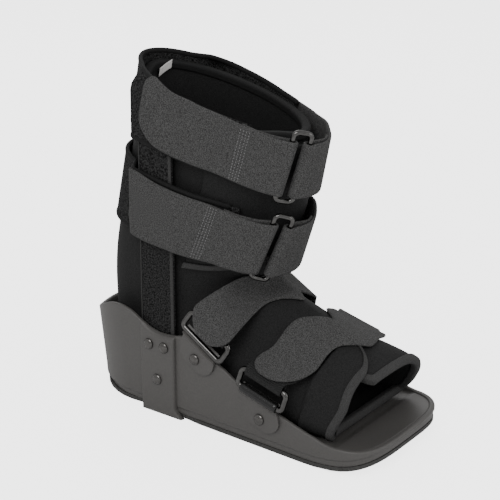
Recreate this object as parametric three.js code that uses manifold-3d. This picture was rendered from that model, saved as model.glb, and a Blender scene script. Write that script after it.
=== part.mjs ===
// Low medical walking boot: a rocker-soled plastic shell, a padded fabric liner, two side uprights in
// covers, two calf straps on rectangular rings and two foot straps on D-rings. Millimetres, +Z up.
// The toe points along -Y and the heel along +Y; the origin is under the middle of the boot.

import * as THREE from 'three';
import Module from 'manifold-3d';
import { mergeVertices } from 'three/addons/utils/BufferGeometryUtils.js';

const wasm = await Module();
wasm.setup();

// Overall sizes
const soleLength = 280;
const soleWidth = 119;
const cupHeight = 82;
const instepHeight = 112;
const calfHeight = 148;
const calfWidth = 90;

// Sole and shell
const soleBand = 4;
const soleInset = 0.4;
const treadGrooves = 11;
const grooveWidth = 4;
const grooveDepth = 1.6;
const grooveLength = 96;
const shellWall = 3.2;
const toeRim = 6.5;
const shellFloor = 17;
const heelFlare = 5.5;
const toeLift = 8.2;
const heelLift = 1.2;
const heelTuck = 1.4;
const edgeRound = 1;
const pillarWidth = 33.4;
const pillarY = 48;
const pillarProud = 2.8;
const pillarFoot = 7;
const pillarFootHeight = 8;
const pillarRoot = 0.4;

// Liner, flaps and edge bindings
const linerWall = 4;
const toeFlapWall = 3;
const calfFlapWall = 2.4;
const bindingWall = 0.7;
const bindingLeg = 5;
const labelWidth = 20;
const labelHeight = 9;
const labelThick = 0.5;
const labelTurn = 283;
const labelDrop = 0.05;

// Uprights
const uprightWidth = 32.5;
const uprightTopWidth = 30.5;
const uprightThick = 4.2;
const uprightY = 52.2;
const uprightFoot = 21;
const uprightTop = 236;
const uprightLean = { right: 1.2, left: 7.5 };
const uprightClear = { from: 14, to: 30 };

// Straps, webbing and rings
const calfStrapThick = 2.2;
const bandThick = 2.4;
const footStrapWidth = 38;
const footStrapThick = 2.2;
const webbingWidth = 33;
const webbingThick = 1.5;
const wire = 1.9;
const calfRingSpan = 13;
const calfRingMargin = 3.5;
const footRingHeight = 14;
const footRingWidth = 41;
const ringCorner = 3.5;
const ringStandoff = 12;
const calfStrapCorner = 17;
const footStrapCorner = 19;

// Chafe tabs and rivets
const chafeThick = 1.6;
const chafeWidth = 34;
const chafeCorner = 13;
const rivetHead = 4.4;
const rivetDome = 2.3;
const rivetShank = 1.8;

// Clearances
const gap = 0.3;
const rivetHoleGap = 0.3;
const layerGap = 0.35;
const tapeGap = 0.45;

const half = soleLength / 2;
const halfWidth = soleWidth / 2;

// Small helpers
const vec = (x, y, z) => new THREE.Vector3(x, y, z);
const mix = (a, b, t) => a + (b - a) * t;
const degrees = (angle) => angle * Math.PI / 180;
const clamp01 = (t) => Math.min(1, Math.max(0, t));
const range = (count, from = 0, to = 1) => Array.from(
  { length: count }, (_, i) => mix(from, to, i / (count - 1)));

function smooth(from, to, value) {
  const t = clamp01((value - from) / (to - from));
  return t * t * (3 - 2 * t);
}

// A smooth curve through the values of one column, for a row number that may lie between rows.
// Past either end it goes on straight.
function along(values, at) {
  const last = values.length - 1;
  if (at <= 0) return values[0] + (values[1] - values[0]) * at;
  if (at >= last) return values[last] + (values[last] - values[last - 1]) * (at - last);
  const i = Math.floor(at);
  const t = at - i;
  const b = values[i];
  const c = values[i + 1];
  const a = i > 0 ? values[i - 1] : 2 * b - c;
  const d = i + 1 < last ? values[i + 2] : 2 * c - b;
  const square = 2 * a - 5 * b + 4 * c - d;
  const cube = 3 * b - a - 3 * c + d;
  return 0.5 * (2 * b + (c - a) * t + square * t * t + cube * t * t * t);
}

// The value of a column at a position given in another column that falls from row to row.
function tableAt(table, positionName, valueName, position) {
  const places = table.map((row) => row[positionName]);
  let i = 0;
  while (i < places.length - 2 && position < places[i + 1]) i += 1;
  const at = i + clamp01((position - places[i]) / (places[i + 1] - places[i]));
  return along(table.map((row) => row[valueName]), at);
}

// A closed body from points and triangles, turned so that its faces point out.
function body(points, triangles) {
  let volume = 0;
  for (const [a, b, c] of triangles) {
    volume += points[a].dot(vec(0, 0, 0).crossVectors(points[b], points[c]));
  }
  const order = volume < 0 ? [0, 2, 1] : [0, 1, 2];
  const geometry = new THREE.BufferGeometry();
  const coordinates = points.flatMap((p) => [p.x, p.y, p.z]);
  geometry.setAttribute('position', new THREE.Float32BufferAttribute(coordinates, 3));
  geometry.setIndex(triangles.flatMap((corners) => order.map((i) => corners[i])));
  geometry.computeVertexNormals();
  return geometry;
}

// Joins rings of points into a tube. A ring of a closed tube joins the last to the first; otherwise each
// end is closed by rungs between the two sides of its ring.
function tube(rings, closed = false) {
  const count = rings[0].length;
  const points = rings.flat();
  const triangles = [];
  const steps = closed ? rings.length : rings.length - 1;
  for (let i = 0; i < steps; i += 1) {
    const lower = i * count;
    const upper = ((i + 1) % rings.length) * count;
    for (let j = 0; j < count; j += 1) {
      const k = (j + 1) % count;
      triangles.push([lower + j, lower + k, upper + k], [lower + j, upper + k, upper + j]);
    }
  }
  if (!closed) {
    const lastRing = (rings.length - 1) * count;
    for (let j = 0; j < count / 2; j += 1) {
      const a = j;
      const b = j + 1;
      const c = count - 1 - j;
      const d = (count - j) % count;
      const rung = d === a ? [[a, c, b]] : [[a, d, c], [a, c, b]];
      for (const corners of rung) {
        if (new Set(corners).size < 3) continue;
        triangles.push(corners);
        triangles.push([corners[0], corners[2], corners[1]].map((corner) => corner + lastRing));
      }
    }
  }
  return body(points, triangles);
}

// A closed plate between an outer and an inner grid of points.
function plate(outer, inner) {
  const rows = outer.length;
  const columns = outer[0].length;
  const points = [...outer.flat(), ...inner.flat()];
  const under = rows * columns;
  const triangles = [];
  const quad = (a, b, c, d) => triangles.push([a, b, c], [a, c, d]);
  for (let i = 0; i < rows - 1; i += 1) {
    for (let j = 0; j < columns - 1; j += 1) {
      const a = i * columns + j;
      quad(a, a + 1, a + columns + 1, a + columns);
      quad(under + a, under + a + columns, under + a + columns + 1, under + a + 1);
    }
  }
  for (let j = 0; j < columns - 1; j += 1) {
    const end = (rows - 1) * columns + j;
    quad(j + 1, j, under + j, under + j + 1);
    quad(end, end + 1, under + end + 1, under + end);
  }
  for (let i = 0; i < rows - 1; i += 1) {
    const a = i * columns;
    const end = a + columns - 1;
    quad(a, a + columns, under + a + columns, under + a);
    quad(end + columns, end, under + end, under + end + columns);
  }
  return body(points, triangles);
}

// A strip of one thickness about a grid of its mid-surface points.
function ribbon(grid, thickness) {
  const rows = grid.length;
  const columns = grid[0].length;
  const normal = (i, j) => {
    const down = grid[Math.max(i - 1, 0)][j];
    const up = grid[Math.min(i + 1, rows - 1)][j];
    const left = grid[i][Math.max(j - 1, 0)];
    const right = grid[i][Math.min(j + 1, columns - 1)];
    return vec(0, 0, 0).crossVectors(up.clone().sub(down), right.clone().sub(left)).normalize();
  };
  const side = (sign) => grid.map((row, i) => row.map(
    (p, j) => p.clone().addScaledVector(normal(i, j), sign * thickness / 2)));
  return plate(side(1), side(-1));
}

// A round wire bent to a closed loop in the plane of two directions.
function wireLoop(centre, lengthways, crossways, length, width, corner, radius) {
  const across = vec(0, 0, 0).crossVectors(lengthways, crossways).normalize();
  const path = [];
  const corners = [[1, 1, 0], [-1, 1, 90], [-1, -1, 180], [1, -1, 270]];
  for (const [a, b, from] of corners) {
    for (const turn of range(5, from, from + 90)) {
      const t = degrees(turn);
      path.push({
        u: a * (length / 2 - corner) + corner * Math.cos(t),
        w: b * (width / 2 - corner) + corner * Math.sin(t),
        out: [Math.cos(t), Math.sin(t)],
      });
    }
  }
  const rings = path.map(({ u, w, out }) => range(9, 0, 360).slice(0, 8).map((turn) => {
    const t = degrees(turn);
    return centre.clone()
      .addScaledVector(lengthways, u + out[0] * radius * Math.cos(t))
      .addScaledVector(crossways, w + out[1] * radius * Math.cos(t))
      .addScaledVector(across, radius * Math.sin(t));
  }));
  return tube(rings, true);
}

// Booleans on closed bodies
function toManifold(geometry) {
  const bare = geometry.clone();
  bare.deleteAttribute('normal');
  bare.deleteAttribute('uv');
  const merged = mergeVertices(bare, 1e-5);
  return new wasm.Manifold(new wasm.Mesh({
    numProp: 3,
    vertProperties: new Float32Array(merged.attributes.position.array),
    triVerts: new Uint32Array(merged.index.array),
  }));
}

function toGeometry(manifold) {
  const mesh = manifold.getMesh();
  const geometry = new THREE.BufferGeometry();
  geometry.setAttribute('position', new THREE.BufferAttribute(new Float32Array(mesh.vertProperties), 3));
  geometry.setIndex(new THREE.BufferAttribute(new Uint32Array(mesh.triVerts), 1));
  geometry.computeVertexNormals();
  return geometry;
}

// Footprint of the shell: a round heel, nearly straight sides that widen forward and a square toe.
const heelCentre = 0.571 * half;
const heelHalf = 0.924 * halfWidth;
const heelBack = 0.962 * half;
const toeCentre = -0.679 * half;
const toeSquare = 3.7;

function footprintStations() {
  const stations = [];
  for (const turn of range(10, 0, 90)) {
    const t = degrees(turn);
    stations.push([heelHalf * Math.sin(t), heelCentre + (heelBack - heelCentre) * Math.cos(t)]);
  }
  for (const t of range(16).slice(1)) {
    stations.push([mix(heelHalf, halfWidth, t), mix(heelCentre, toeCentre, t)]);
  }
  for (const turn of range(12, 0, 90).slice(1)) {
    const t = degrees(turn);
    const width = turn < 90 ? Math.cos(t) ** (2 / toeSquare) : 0;
    stations.push([halfWidth * width, toeCentre - (half + toeCentre) * Math.sin(t) ** (2 / toeSquare)]);
  }
  return stations.map(([x, y], i) => {
    const [ax, ay] = stations[Math.max(i - 1, 0)];
    const [bx, by] = stations[Math.min(i + 1, stations.length - 1)];
    const length = Math.hypot(bx - ax, by - ay);
    const end = i === 0 || i === stations.length - 1;
    return { x, y, nx: end ? 0 : (ay - by) / length, ny: end ? Math.sign(y) : (bx - ax) / length };
  });
}
const stations = footprintStations();

// One ring of the footprint, moved out by grow and lifted to height; both may follow the place along it.
function footRing(grow, height) {
  const point = (station, side) => {
    const out = typeof grow === 'function' ? grow(station.y) : grow;
    return vec(side * (station.x + station.nx * out), station.y + station.ny * out, height(station.y));
  };
  const positiveSide = stations.map((station) => point(station, 1));
  const negativeSide = stations.slice(1, -1).reverse().map((station) => point(station, -1));
  return [...positiveSide, ...negativeSide];
}

// Underside of the sole: flat in the middle, rising to the toe and the heel.
function rocker(y) {
  const toe = clamp01((-0.607 * half - y) / (0.393 * half));
  const heel = clamp01((y - 0.5 * half) / (0.5 * half));
  return toeLift * toe * toe + heelLift * heel * heel;
}

// Top edge of the shell wall from the back of the heel to the toe, as shares of the half length and of the
// cup's height.
const wallTop = [
  { y: 1.0, z: 0.73 },
  { y: 0.92, z: 0.755 },
  { y: 0.83, z: 0.83 },
  { y: 0.74, z: 0.92 },
  { y: 0.66, z: 0.985 },
  { y: 0.59, z: 1.0 },
  { y: 0.52, z: 0.965 },
  { y: 0.46, z: 0.895 },
  { y: 0.40, z: 0.835 },
  { y: 0.33, z: 0.805 },
  { y: 0.25, z: 0.812 },
  { y: 0.155, z: 0.84 },
  { y: 0.05, z: 0.765 },
  { y: -0.07, z: 0.672 },
  { y: -0.20, z: 0.552 },
  { y: -0.36, z: 0.445 },
  { y: -0.52, z: 0.36 },
  { y: -0.68, z: 0.288 },
  { y: -0.77, z: 0.25 },
  { y: -0.85, z: 0.245 },
  { y: -1.0, z: 0.234 },
];
const topEdge = (y) => cupHeight * tableAt(wallTop, 'y', 'z', y / half);
const heelShare = (y) => smooth(0.25 * half, 0.62 * half, y);
const flareShare = (y, z) => heelShare(y) * clamp01((z - shellFloor) / (cupHeight - shellFloor));
const tuck = (y, z) => heelTuck * heelShare(y) * clamp01((shellFloor - z) / shellFloor) ** 1.5;
const rimWidth = (y) => mix(shellWall, toeRim, smooth(-0.72 * half, -0.86 * half, y));

// Outer face of the shell wall beside the foot.
function wallHalf(y, z) {
  return tableAt(stations.slice(9, 26), 'y', 'x', y) + heelFlare * flareShare(y, z);
}

function shellGeometry() {
  const bottom = (y) => rocker(y) + soleBand;
  const rise = (share) => (y) => mix(bottom(y) + 2, topEdge(y) - edgeRound, share);
  const outer = (share) => footRing(
    (y) => heelFlare * flareShare(y, rise(share)(y)) - tuck(y, rise(share)(y)), rise(share));
  const atTop = (inset, drop) => footRing(
    (y) => heelFlare * flareShare(y, topEdge(y)) - inset(y), (y) => topEdge(y) - drop);
  const inner = (share) => footRing(
    (y) => heelFlare * flareShare(y, mix(shellFloor + 3, topEdge(y) - edgeRound, share)) - rimWidth(y),
    (y) => mix(Math.min(shellFloor + 3, topEdge(y) - edgeRound), topEdge(y) - edgeRound, share));
  const rings = [
    footRing((y) => -soleInset - tuck(y, soleBand), bottom),
    footRing((y) => -0.6 - tuck(y, soleBand), (y) => bottom(y) + 0.4),
    ...[0, 0.1, 0.25, 0.5, 0.75, 1].map(outer),
    atTop(() => 0.3 * edgeRound, 0.3 * edgeRound),
    atTop(() => edgeRound, 0),
    atTop((y) => rimWidth(y) - edgeRound, 0),
    ...range(5, 1, 0).map(inner),
    footRing((y) => -rimWidth(y) - 0.8, () => shellFloor + 0.6),
    footRing((y) => -rimWidth(y) - 2.5, () => shellFloor),
  ];
  let shell = toManifold(tube(rings));
  for (const side of [-1, 1]) {
    shell = shell.add(toManifold(pillarGeometry(side)));
  }
  for (const side of [-1, 1]) {
    for (const { y, z, seat } of rivetPlaces) {
      shell = shell.subtract(rivetHole({ y, z, seat }, side));
    }
  }
  return toGeometry(shell);
}

// The raised pad over each upright's foot, which runs down to the ground and spreads forward there.
function pillarGeometry(side) {
  const face = pillarFace;
  const heights = [0, 0.35, 0.7, 1];
  const back = pillarY + pillarWidth / 2;
  const grid = (x, chamfer) => {
    const rows = [
      ...heights.map((t) => ({ foot: 1 - t, z: () => t * pillarFootHeight })),
      ...range(5).slice(1).map((t) => ({ foot: 0, z: (y) => mix(pillarFootHeight, topEdge(y) - gap, t) })),
    ];
    return rows.map(({ foot, z }) => range(7).map((t) => {
      const front = pillarY - pillarWidth / 2 - pillarFoot * foot * foot;
      const y = mix(back - chamfer, front + chamfer, t);
      return vec(side * x, y, z(y));
    }));
  };
  return plate(grid(face, 0.8), grid(pillarInner, 0));
}
const pillarFace = wallHalf(pillarY, cupHeight / 2) + pillarProud;
const pillarInner = wallHalf(pillarY, 0) - pillarRoot;

// Rivets: three through each pillar, and one through each chafe tab. seat is the face under the head.
const footRings = [
  { name: 'instep', y: 0.031, z: 0.85, slope: 31, lean: 13, rivetAlong: -1.7, rivetDown: 16.3, chafeDown: 24 },
  { name: 'forefoot', y: -0.357, z: 0.516, slope: 15, lean: 6, rivetAlong: -4, rivetDown: 17.4, chafeDown: 25 },
];

// Where each foot ring's lower bar lies beside the wall, with its direction and the way up.
function barFrame(ring) {
  const y = ring.y * half;
  const z = ring.z * cupHeight;
  const slope = degrees(ring.slope);
  const across = Math.cos(slope);
  const rise = Math.sin(slope);
  return { y, z, alongY: across, alongZ: rise, upY: -rise, upZ: across };
}
const pillarRivets = [
  { y: pillarY + 0.225 * pillarWidth, z: 0.685 * cupHeight },
  { y: pillarY - 0.215 * pillarWidth, z: 0.687 * cupHeight },
  { y: pillarY, z: 0.348 * cupHeight },
].map((place) => ({ ...place, seat: pillarFace, reach: pillarFace - wallHalf(place.y, place.z) + shellWall }));
const chafeRivets = footRings.map((ring) => {
  const bar = barFrame(ring);
  const y = bar.y + bar.alongY * ring.rivetAlong - bar.upY * ring.rivetDown;
  const z = bar.z + bar.alongZ * ring.rivetAlong - bar.upZ * ring.rivetDown;
  const seat = wallHalf(y, z) + gap + chafeThick;
  return { y, z, seat, reach: gap + chafeThick + shellWall };
});
const rivetPlaces = [...pillarRivets, ...chafeRivets];

function rivetHole({ y, z, seat }, side) {
  const hole = new THREE.CylinderGeometry(rivetShank + rivetHoleGap, rivetShank + rivetHoleGap, 30, 12);
  hole.rotateZ(Math.PI / 2);
  hole.translate(side * seat, y, z);
  return toManifold(hole);
}

function rivetGeometry({ y, z, seat, reach }, side) {
  const profile = [new THREE.Vector2(0, -reach)];
  profile.push(new THREE.Vector2(rivetShank, -reach), new THREE.Vector2(rivetShank, gap));
  profile.push(new THREE.Vector2(rivetHead, gap));
  for (const turn of range(6, 20, 90).slice(0, 5)) {
    const t = degrees(turn);
    profile.push(new THREE.Vector2(rivetHead * Math.cos(t), gap + rivetDome * Math.sin(t)));
  }
  profile.push(new THREE.Vector2(0, gap + rivetDome));
  const rivet = new THREE.LatheGeometry(profile, 16);
  rivet.rotateZ(-side * Math.PI / 2);
  rivet.translate(side * seat, y, z);
  return rivet;
}

// Outsole under the shell, with crosswise grooves that leave the middle plain.
function outsoleGeometry() {
  const reliefEnd = pillarWidth / 2 + 14;
  const byPillar = (y) => pillarRelief * smooth(0, 6, reliefEnd - Math.abs(y - pillarY));
  const inset = (extra) => (y) => -soleInset - extra - tuck(y, soleBand) - byPillar(y);
  const rings = [
    footRing(inset(1), rocker),
    footRing(inset(0.4), (y) => rocker(y) + 0.4),
    footRing(inset(0.2), (y) => rocker(y) + 1.2),
    footRing(inset(0.2), (y) => rocker(y) + soleBand - gap),
  ];
  let sole = toManifold(tube(rings));
  for (const share of range(treadGrooves, -0.84, 0.84)) {
    if (Math.abs(share) < 0.01) continue;
    const y = share * half;
    const groove = new THREE.BoxGeometry(grooveLength, grooveWidth, 2 * grooveDepth);
    groove.translate(0, y, rocker(y));
    sole = sole.subtract(toManifold(groove));
  }
  return toGeometry(sole);
}
const pillarRelief = 1.2;

// Sections of the liner from the toe opening, round the heel and up the calf to above the rim. Each is a
// closed curve through a point at the sole or back and one at the instep or front, in shares of the half
// length (backY, frontY) and of the instep height or the calf height over it (backZ, frontZ). half is a
// share of half the room between the shell walls or uprights, or of half the calf width, and shift moves
// the section toward +X in the same shares. taper narrows a section toward its front, bow swells it
// forward and roll lowers its -X side. backSquare and frontSquare are the powers of its two curves.
const footHalf = halfWidth - shellWall - 2;
const ankleHalf = wallHalf(pillarY, 0) - shellWall - gap - uprightThick - 3 * layerGap;
const footPlaces = [
  { backY: -0.729, backZ: 0.175, frontY: -0.88, frontZ: 0.555 },
  { backY: -0.629, backZ: 0.163, frontY: -0.745, frontZ: 0.655 },
  { backY: -0.486, backZ: 0.158, frontY: -0.536, frontZ: 0.75 },
  { backY: -0.286, backZ: 0.158, frontY: -0.329, frontZ: 0.855 },
  { backY: -0.036, backZ: 0.158, frontY: -0.214, frontZ: 0.92 },
];
const footShapes = [
  { half: 0.93, taper: 0.18, bow: 0.04, backSquare: 6.0, frontSquare: 3.4 },
  { half: 0.945, taper: 0.2, bow: 0.03, backSquare: 6.0, frontSquare: 2.1 },
  { half: 0.955, taper: 0.18, bow: 0.01, backSquare: 6.0, frontSquare: 1.5 },
  { half: 0.945, taper: 0.17, backSquare: 5.5, frontSquare: 1.4 },
  { half: 0.93, taper: 0.13, backSquare: 5.0, frontSquare: 1.35 },
];
const anklePlaces = [
  { backY: 0.25, backZ: 0.158, frontY: -0.179, frontZ: 0.96 },
  { backY: 0.55, backZ: 0.158, frontY: -0.164, frontZ: 0.99 },
  { backY: 0.757, backZ: 0.20, frontY: -0.157, frontZ: 1.017 },
  { backY: 0.85, backZ: 0.41, frontY: -0.157, frontZ: 1.045 },
  { backY: 0.875, backZ: 0.71, frontY: -0.161, frontZ: 1.075 },
  { backY: 0.865, backZ: 0.99, frontY: -0.171, frontZ: 1.10 },
];
const ankleShapes = [
  { half: 1.0, taper: 0.08, backSquare: 4.4, frontSquare: 1.35 },
  { half: 0.99, taper: 0.04, backSquare: 3.6, frontSquare: 1.4 },
  { half: 0.98, shift: -0.005, taper: 0.02, backSquare: 2.9, frontSquare: 1.5 },
  { half: 0.965, shift: -0.01, backSquare: 2.7, frontSquare: 1.6 },
  { half: 0.955, shift: -0.02, backSquare: 2.6, frontSquare: 1.75 },
  { half: 0.945, shift: -0.03, backSquare: 2.6, frontSquare: 1.9 },
];
const calfPlaces = [
  { backY: 0.832, backZ: 0.20, frontY: -0.20, frontZ: 0.092 },
  { backY: 0.788, backZ: 0.375, frontY: -0.245, frontZ: 0.245 },
  { backY: 0.748, backZ: 0.54, frontY: -0.295, frontZ: 0.40 },
  { backY: 0.708, backZ: 0.735, frontY: -0.314, frontZ: 0.52 },
  { backY: 0.678, backZ: 0.885, frontY: -0.318, frontZ: 0.655 },
  { backY: 0.653, backZ: 1.01, frontY: -0.321, frontZ: 0.775 },
];
const calfShapes = [
  { half: 0.975, shift: -0.035, backSquare: 2.5, frontSquare: 2.0 },
  { half: 0.96, shift: -0.04, roll: 0.01, backSquare: 2.45, frontSquare: 1.95 },
  { half: 0.95, shift: -0.045, roll: 0.02, backSquare: 2.4, frontSquare: 1.95 },
  { half: 0.94, shift: -0.055, roll: 0.03, backSquare: 2.3, frontSquare: 1.95 },
  { half: 0.93, shift: -0.06, roll: 0.038, backSquare: 2.15, frontSquare: 1.95 },
  { half: 0.93, shift: -0.06, roll: 0.045, backSquare: 2.1, frontSquare: 1.95 },
];

// Turns rows of shares into columns of millimetres.
function sections(rows) {
  const column = (name, scale = () => 1, base = () => 0) => rows.map(
    (row) => base(row) + (row[name] ?? 0) * scale(row));
  return {
    backY: column('backY', () => half),
    frontY: column('frontY', () => half),
    backZ: column('backZ', (row) => row.high, (row) => row.low),
    frontZ: column('frontZ', (row) => row.high, (row) => row.low),
    half: column('half', (row) => row.room),
    shift: column('shift', (row) => row.room),
    bow: column('bow', () => half),
    taper: column('taper'),
    roll: column('roll'),
    backSquare: column('backSquare'),
    frontSquare: column('frontSquare'),
  };
}
const lowPart = (places, shapes, room) => places.map(
  (place, i) => ({ ...place, ...shapes[i], low: 0, high: instepHeight, room }));
const calfPart = (places, shapes) => places.map(
  (place, i) => ({ ...place, ...shapes[i], low: instepHeight, high: calfHeight, room: calfWidth / 2 }));
const liner = sections([
  ...lowPart(footPlaces, footShapes, footHalf),
  ...lowPart(anklePlaces, ankleShapes, ankleHalf),
  ...calfPart(calfPlaces, calfShapes),
]);
const rimRow = footPlaces.length + anklePlaces.length + calfPlaces.length - 1;

// The rim dips a little on the wearer's right side, behind the upper strap.
const rimDip = 0.3;
const rimAt = (turn) => rimRow - rimDip * smooth(110, 150, turn) * smooth(275, 235, turn);

// A point of the outer surface: row picks the section and turn the place round it, from the left side at
// 0 by the front at 90 and the right side at 180 to the back at 270.
function surface(form, row, turn) {
  const t = degrees(turn);
  const c = Math.cos(t);
  const s = Math.sin(t);
  const square = along(s > 0 ? form.frontSquare : form.backSquare, row);
  const shaped = (value) => Math.sign(value) * Math.abs(value) ** (2 / square);
  const share = (shaped(s) + 1) / 2;
  const bow = Math.max(0, along(form.bow, row)) * Math.sin(Math.PI * share);
  const narrow = 1 - Math.max(0, along(form.taper, row)) * share;
  const x = along(form.half, row) * shaped(c) * narrow + along(form.shift, row);
  const roll = Math.max(0, along(form.roll, row)) * (x + calfWidth / 2);
  return vec(
    x,
    mix(along(form.backY, row), along(form.frontY, row), share) - bow,
    mix(along(form.backZ, row), along(form.frontZ, row), share) - roll);
}

// The same point moved along the surface's own normal.
function offset(form, row, turn, out) {
  const here = surface(form, row, turn);
  const step = 0.02;
  const round = surface(form, row, turn + 1).sub(surface(form, row, turn - 1));
  const up = surface(form, row + step, turn).sub(surface(form, row - step, turn));
  const normal = vec(0, 0, 0).crossVectors(up, round).normalize();
  return here.addScaledVector(normal, out);
}

const turns = (count, from, to) => range(count, from, to);

function linerGeometry() {
  const around = turns(37, 0, 360).slice(0, 36);
  const rows = range(24);
  const ring = (t, out) => around.map((turn) => offset(liner, mix(toeRow(turn), rimAt(turn), t), turn, out));
  return tube([...rows.map((t) => ring(t, 0)), ...[...rows].reverse().map((t) => ring(t, -linerWall))], true);
}

// Flaps: each is a wall that lies over the liner.
const toeFlapEdge = [
  { turn: 218, row: 0.0 },
  { turn: 195, row: 0.18 },
  { turn: 175, row: 0.42 },
  { turn: 155, row: 0.52 },
  { turn: 135, row: 0.58 },
  { turn: 118, row: 0.68 },
  { turn: 108, row: 1.15 },
];
const toeFlapFront = (turn) => tableAt(toeFlapEdge, 'turn', 'row', turn);

// The liner's own front edge: row 0, but set back behind the flap's edge on the near side.
const toeSetBack = 0.35;
const toeRow = (turn) => (toeFlapFront(turn) + toeSetBack) * smooth(128, 152, turn) * smooth(226, 212, turn);
const toeFlapOut = gap + toeFlapWall / 2;
const toeFlapTurns = turns(18, 218, 108);
const toeFlapBack = (turn) => footStrapRow(footStraps[1], 1, turn) + 0.5 * smooth(125, 108, turn);

function toeFlapGeometry() {
  const grid = toeFlapTurns.map((turn) => range(6).map(
    (t) => offset(liner, mix(toeFlapFront(turn), toeFlapBack(turn), t), turn, toeFlapOut)));
  return ribbon(grid, toeFlapWall);
}

const calfFlapTurns = turns(16, 166, 62);
const calfFlapOut = gap + 0.25 + calfFlapWall / 2;
const hemRow = 10.15;
const rimGapRows = 0.42;
const hemRise = 1.08;
const calfFlapHem = (turn) => hemRow + hemRise * smooth(152, 118, turn);

function calfFlapGeometry() {
  const grid = calfFlapTurns.map((turn) => range(10).map(
    (t) => offset(liner, mix(calfFlapHem(turn), rimAt(turn) - rimGapRows, t ** 1.6), turn, calfFlapOut)));
  return ribbon(grid, calfFlapWall);
}

// An edge binding: a tape folded over the edge of a wall. edge gives, for each place along it, a function
// from the distance across the wall and the distance beyond the edge to a point. A tape on a flap that
// lies on another wall covers only the outer face and the edge.
function bindingGeometry(edge, wall, closed, bothFaces) {
  const inner = wall / 2 + tapeGap;
  const outer = inner + bindingWall;
  const under = bothFaces ? outer : wall / 2;
  const crown = gap + bindingWall * 0.8;
  const profile = [
    [outer, -bindingLeg], [outer, -bindingLeg / 2], [outer, 0], [outer * 0.7, crown],
    [0, gap + bindingWall], [-under * 0.7, crown],
  ];
  if (bothFaces) {
    profile.push([-outer, 0]);
    profile.push([-outer, -bindingLeg / 2], [-outer, -bindingLeg], [-inner, -bindingLeg]);
    profile.push([-inner, -bindingLeg / 2], [-inner, gap * 0.5], [-inner * 0.7, gap * 0.9]);
  } else {
    profile.push([-under, gap * 0.9], [-under + 0.1, gap * 0.6], [-under * 0.5, gap * 0.8]);
  }
  profile.push([0, gap], [inner * 0.7, gap * 0.9], [inner, gap * 0.5]);
  profile.push([inner, -bindingLeg / 2], [inner, -bindingLeg]);
  return tube(edge.map((place) => profile.map(([across, beyond]) => place(across, beyond))), closed);
}

// A place at the edge of a wall whose middle lies lift off the liner. Behind the edge it follows the
// liner's surface, and beyond it it goes on straight. sign is 1 where the wall ends at its last row.
function edgePlace(row, turn, sign, lift) {
  const step = 0.05;
  const reach = 0.3;
  const tangent = surface(liner, row + sign * step, turn).sub(surface(liner, row, turn)).normalize();
  const rowLength = surface(liner, row - sign * reach, turn).distanceTo(surface(liner, row, turn)) / reach;
  return (across, beyond) => offset(
    liner, row + sign * Math.min(beyond, 0) / rowLength, turn, lift + across,
  ).addScaledVector(tangent, Math.max(beyond, 0));
}

const rimEdge = () => turns(33, 0, 360).slice(0, 32).map((turn) => edgePlace(rimAt(turn), turn, 1, -linerWall / 2));
const toeEdge = () => turns(27, -130, 130).map((turn) => edgePlace(toeRow(turn), turn, -1, -linerWall / 2));
const flapEdge = (frontRow, places, lift) => places.map(
  (turn) => edgePlace(frontRow(turn), turn, -1, lift));

// Blank sewn-in label inside the back of the rim.
function labelGeometry() {
  const out = -linerWall - 2 * layerGap - gap - bindingWall - labelThick / 2;
  const rowsTall = labelHeight / 17;
  const span = labelWidth / 1.15;
  const grid = turns(5, labelTurn - span / 2, labelTurn + span / 2).map((turn) => range(3).map(
    (t) => offset(liner, rimRow - labelDrop - rowsTall * t, turn, out)));
  return ribbon(grid, labelThick);
}

// Uprights: straight bars in their covers, from inside the shell to the upper strap.
function uprightFace(z, side) {
  const share = (z - uprightFoot) / (uprightTop - uprightFoot);
  return wallHalf(pillarY, 0) - shellWall - gap - (side < 0 ? uprightLean.right : uprightLean.left) * share;
}

function uprightGeometry(side) {
  const grid = (out) => range(9).map((t) => {
    const z = mix(uprightFoot, uprightTop, t);
    const ends = t === 0 || t === 1 ? 0.86 : 1;
    const reach = ends * mix(uprightWidth, uprightTopWidth, t) / 2;
    return range(4, -1, 1).map((s) => vec(side * (uprightFace(z, side) - out), uprightY + s * reach, z));
  });
  return plate(grid(0), grid(uprightThick));
}

// The calf straps follow their own closed curves. Each has a row at its lower edge and one at its upper.
const upperForm = sections(calfPart([
  { backY: 0.712, backZ: 0.735, frontY: -0.316, frontZ: 0.515 },
  { backY: 0.664, backZ: 1.07, frontY: -0.376, frontZ: 0.79 },
], [
  { half: 0.975, shift: -0.055, roll: 0.06, backSquare: 2.4, frontSquare: 1.85 },
  { half: 0.98, shift: -0.06, roll: 0.06, backSquare: 2.05, frontSquare: 1.85 },
]));
const lowerForm = sections(calfPart([
  { backY: 0.836, backZ: 0.21, frontY: -0.212, frontZ: 0.105 },
  { backY: 0.758, backZ: 0.565, frontY: -0.305, frontZ: 0.37 },
], [
  { half: 0.995, shift: -0.035, backSquare: 2.5, frontSquare: 1.9 },
  { half: 0.975, shift: -0.045, backSquare: 2.45, frontSquare: 1.9 },
]));

// bandRows and tabRows are the edges of a strap's band and tab as rows of its form. The ring lies at
// ringAngle, its top leans forward by ringLean degrees a row, and it draws the strap down by dip. end is
// the turn of the tab's free end, endLift raises that end, and raise lifts the ring over the strap.
const calfStraps = [
  { name: 'upper', form: upperForm, bandRows: [0, 0.99], tabRows: [0.03, 1.02], end: 206,
    ringAngle: 113.5, ringLean: 4, dip: 1, raise: 2.2, endLift: 4 },
  { name: 'lower', form: lowerForm, bandRows: [0, 1.08], tabRows: [0, 1], end: 208,
    ringAngle: 117.5, ringLean: 4, dip: 0, raise: 2.2, endLift: 0 },
];

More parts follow.
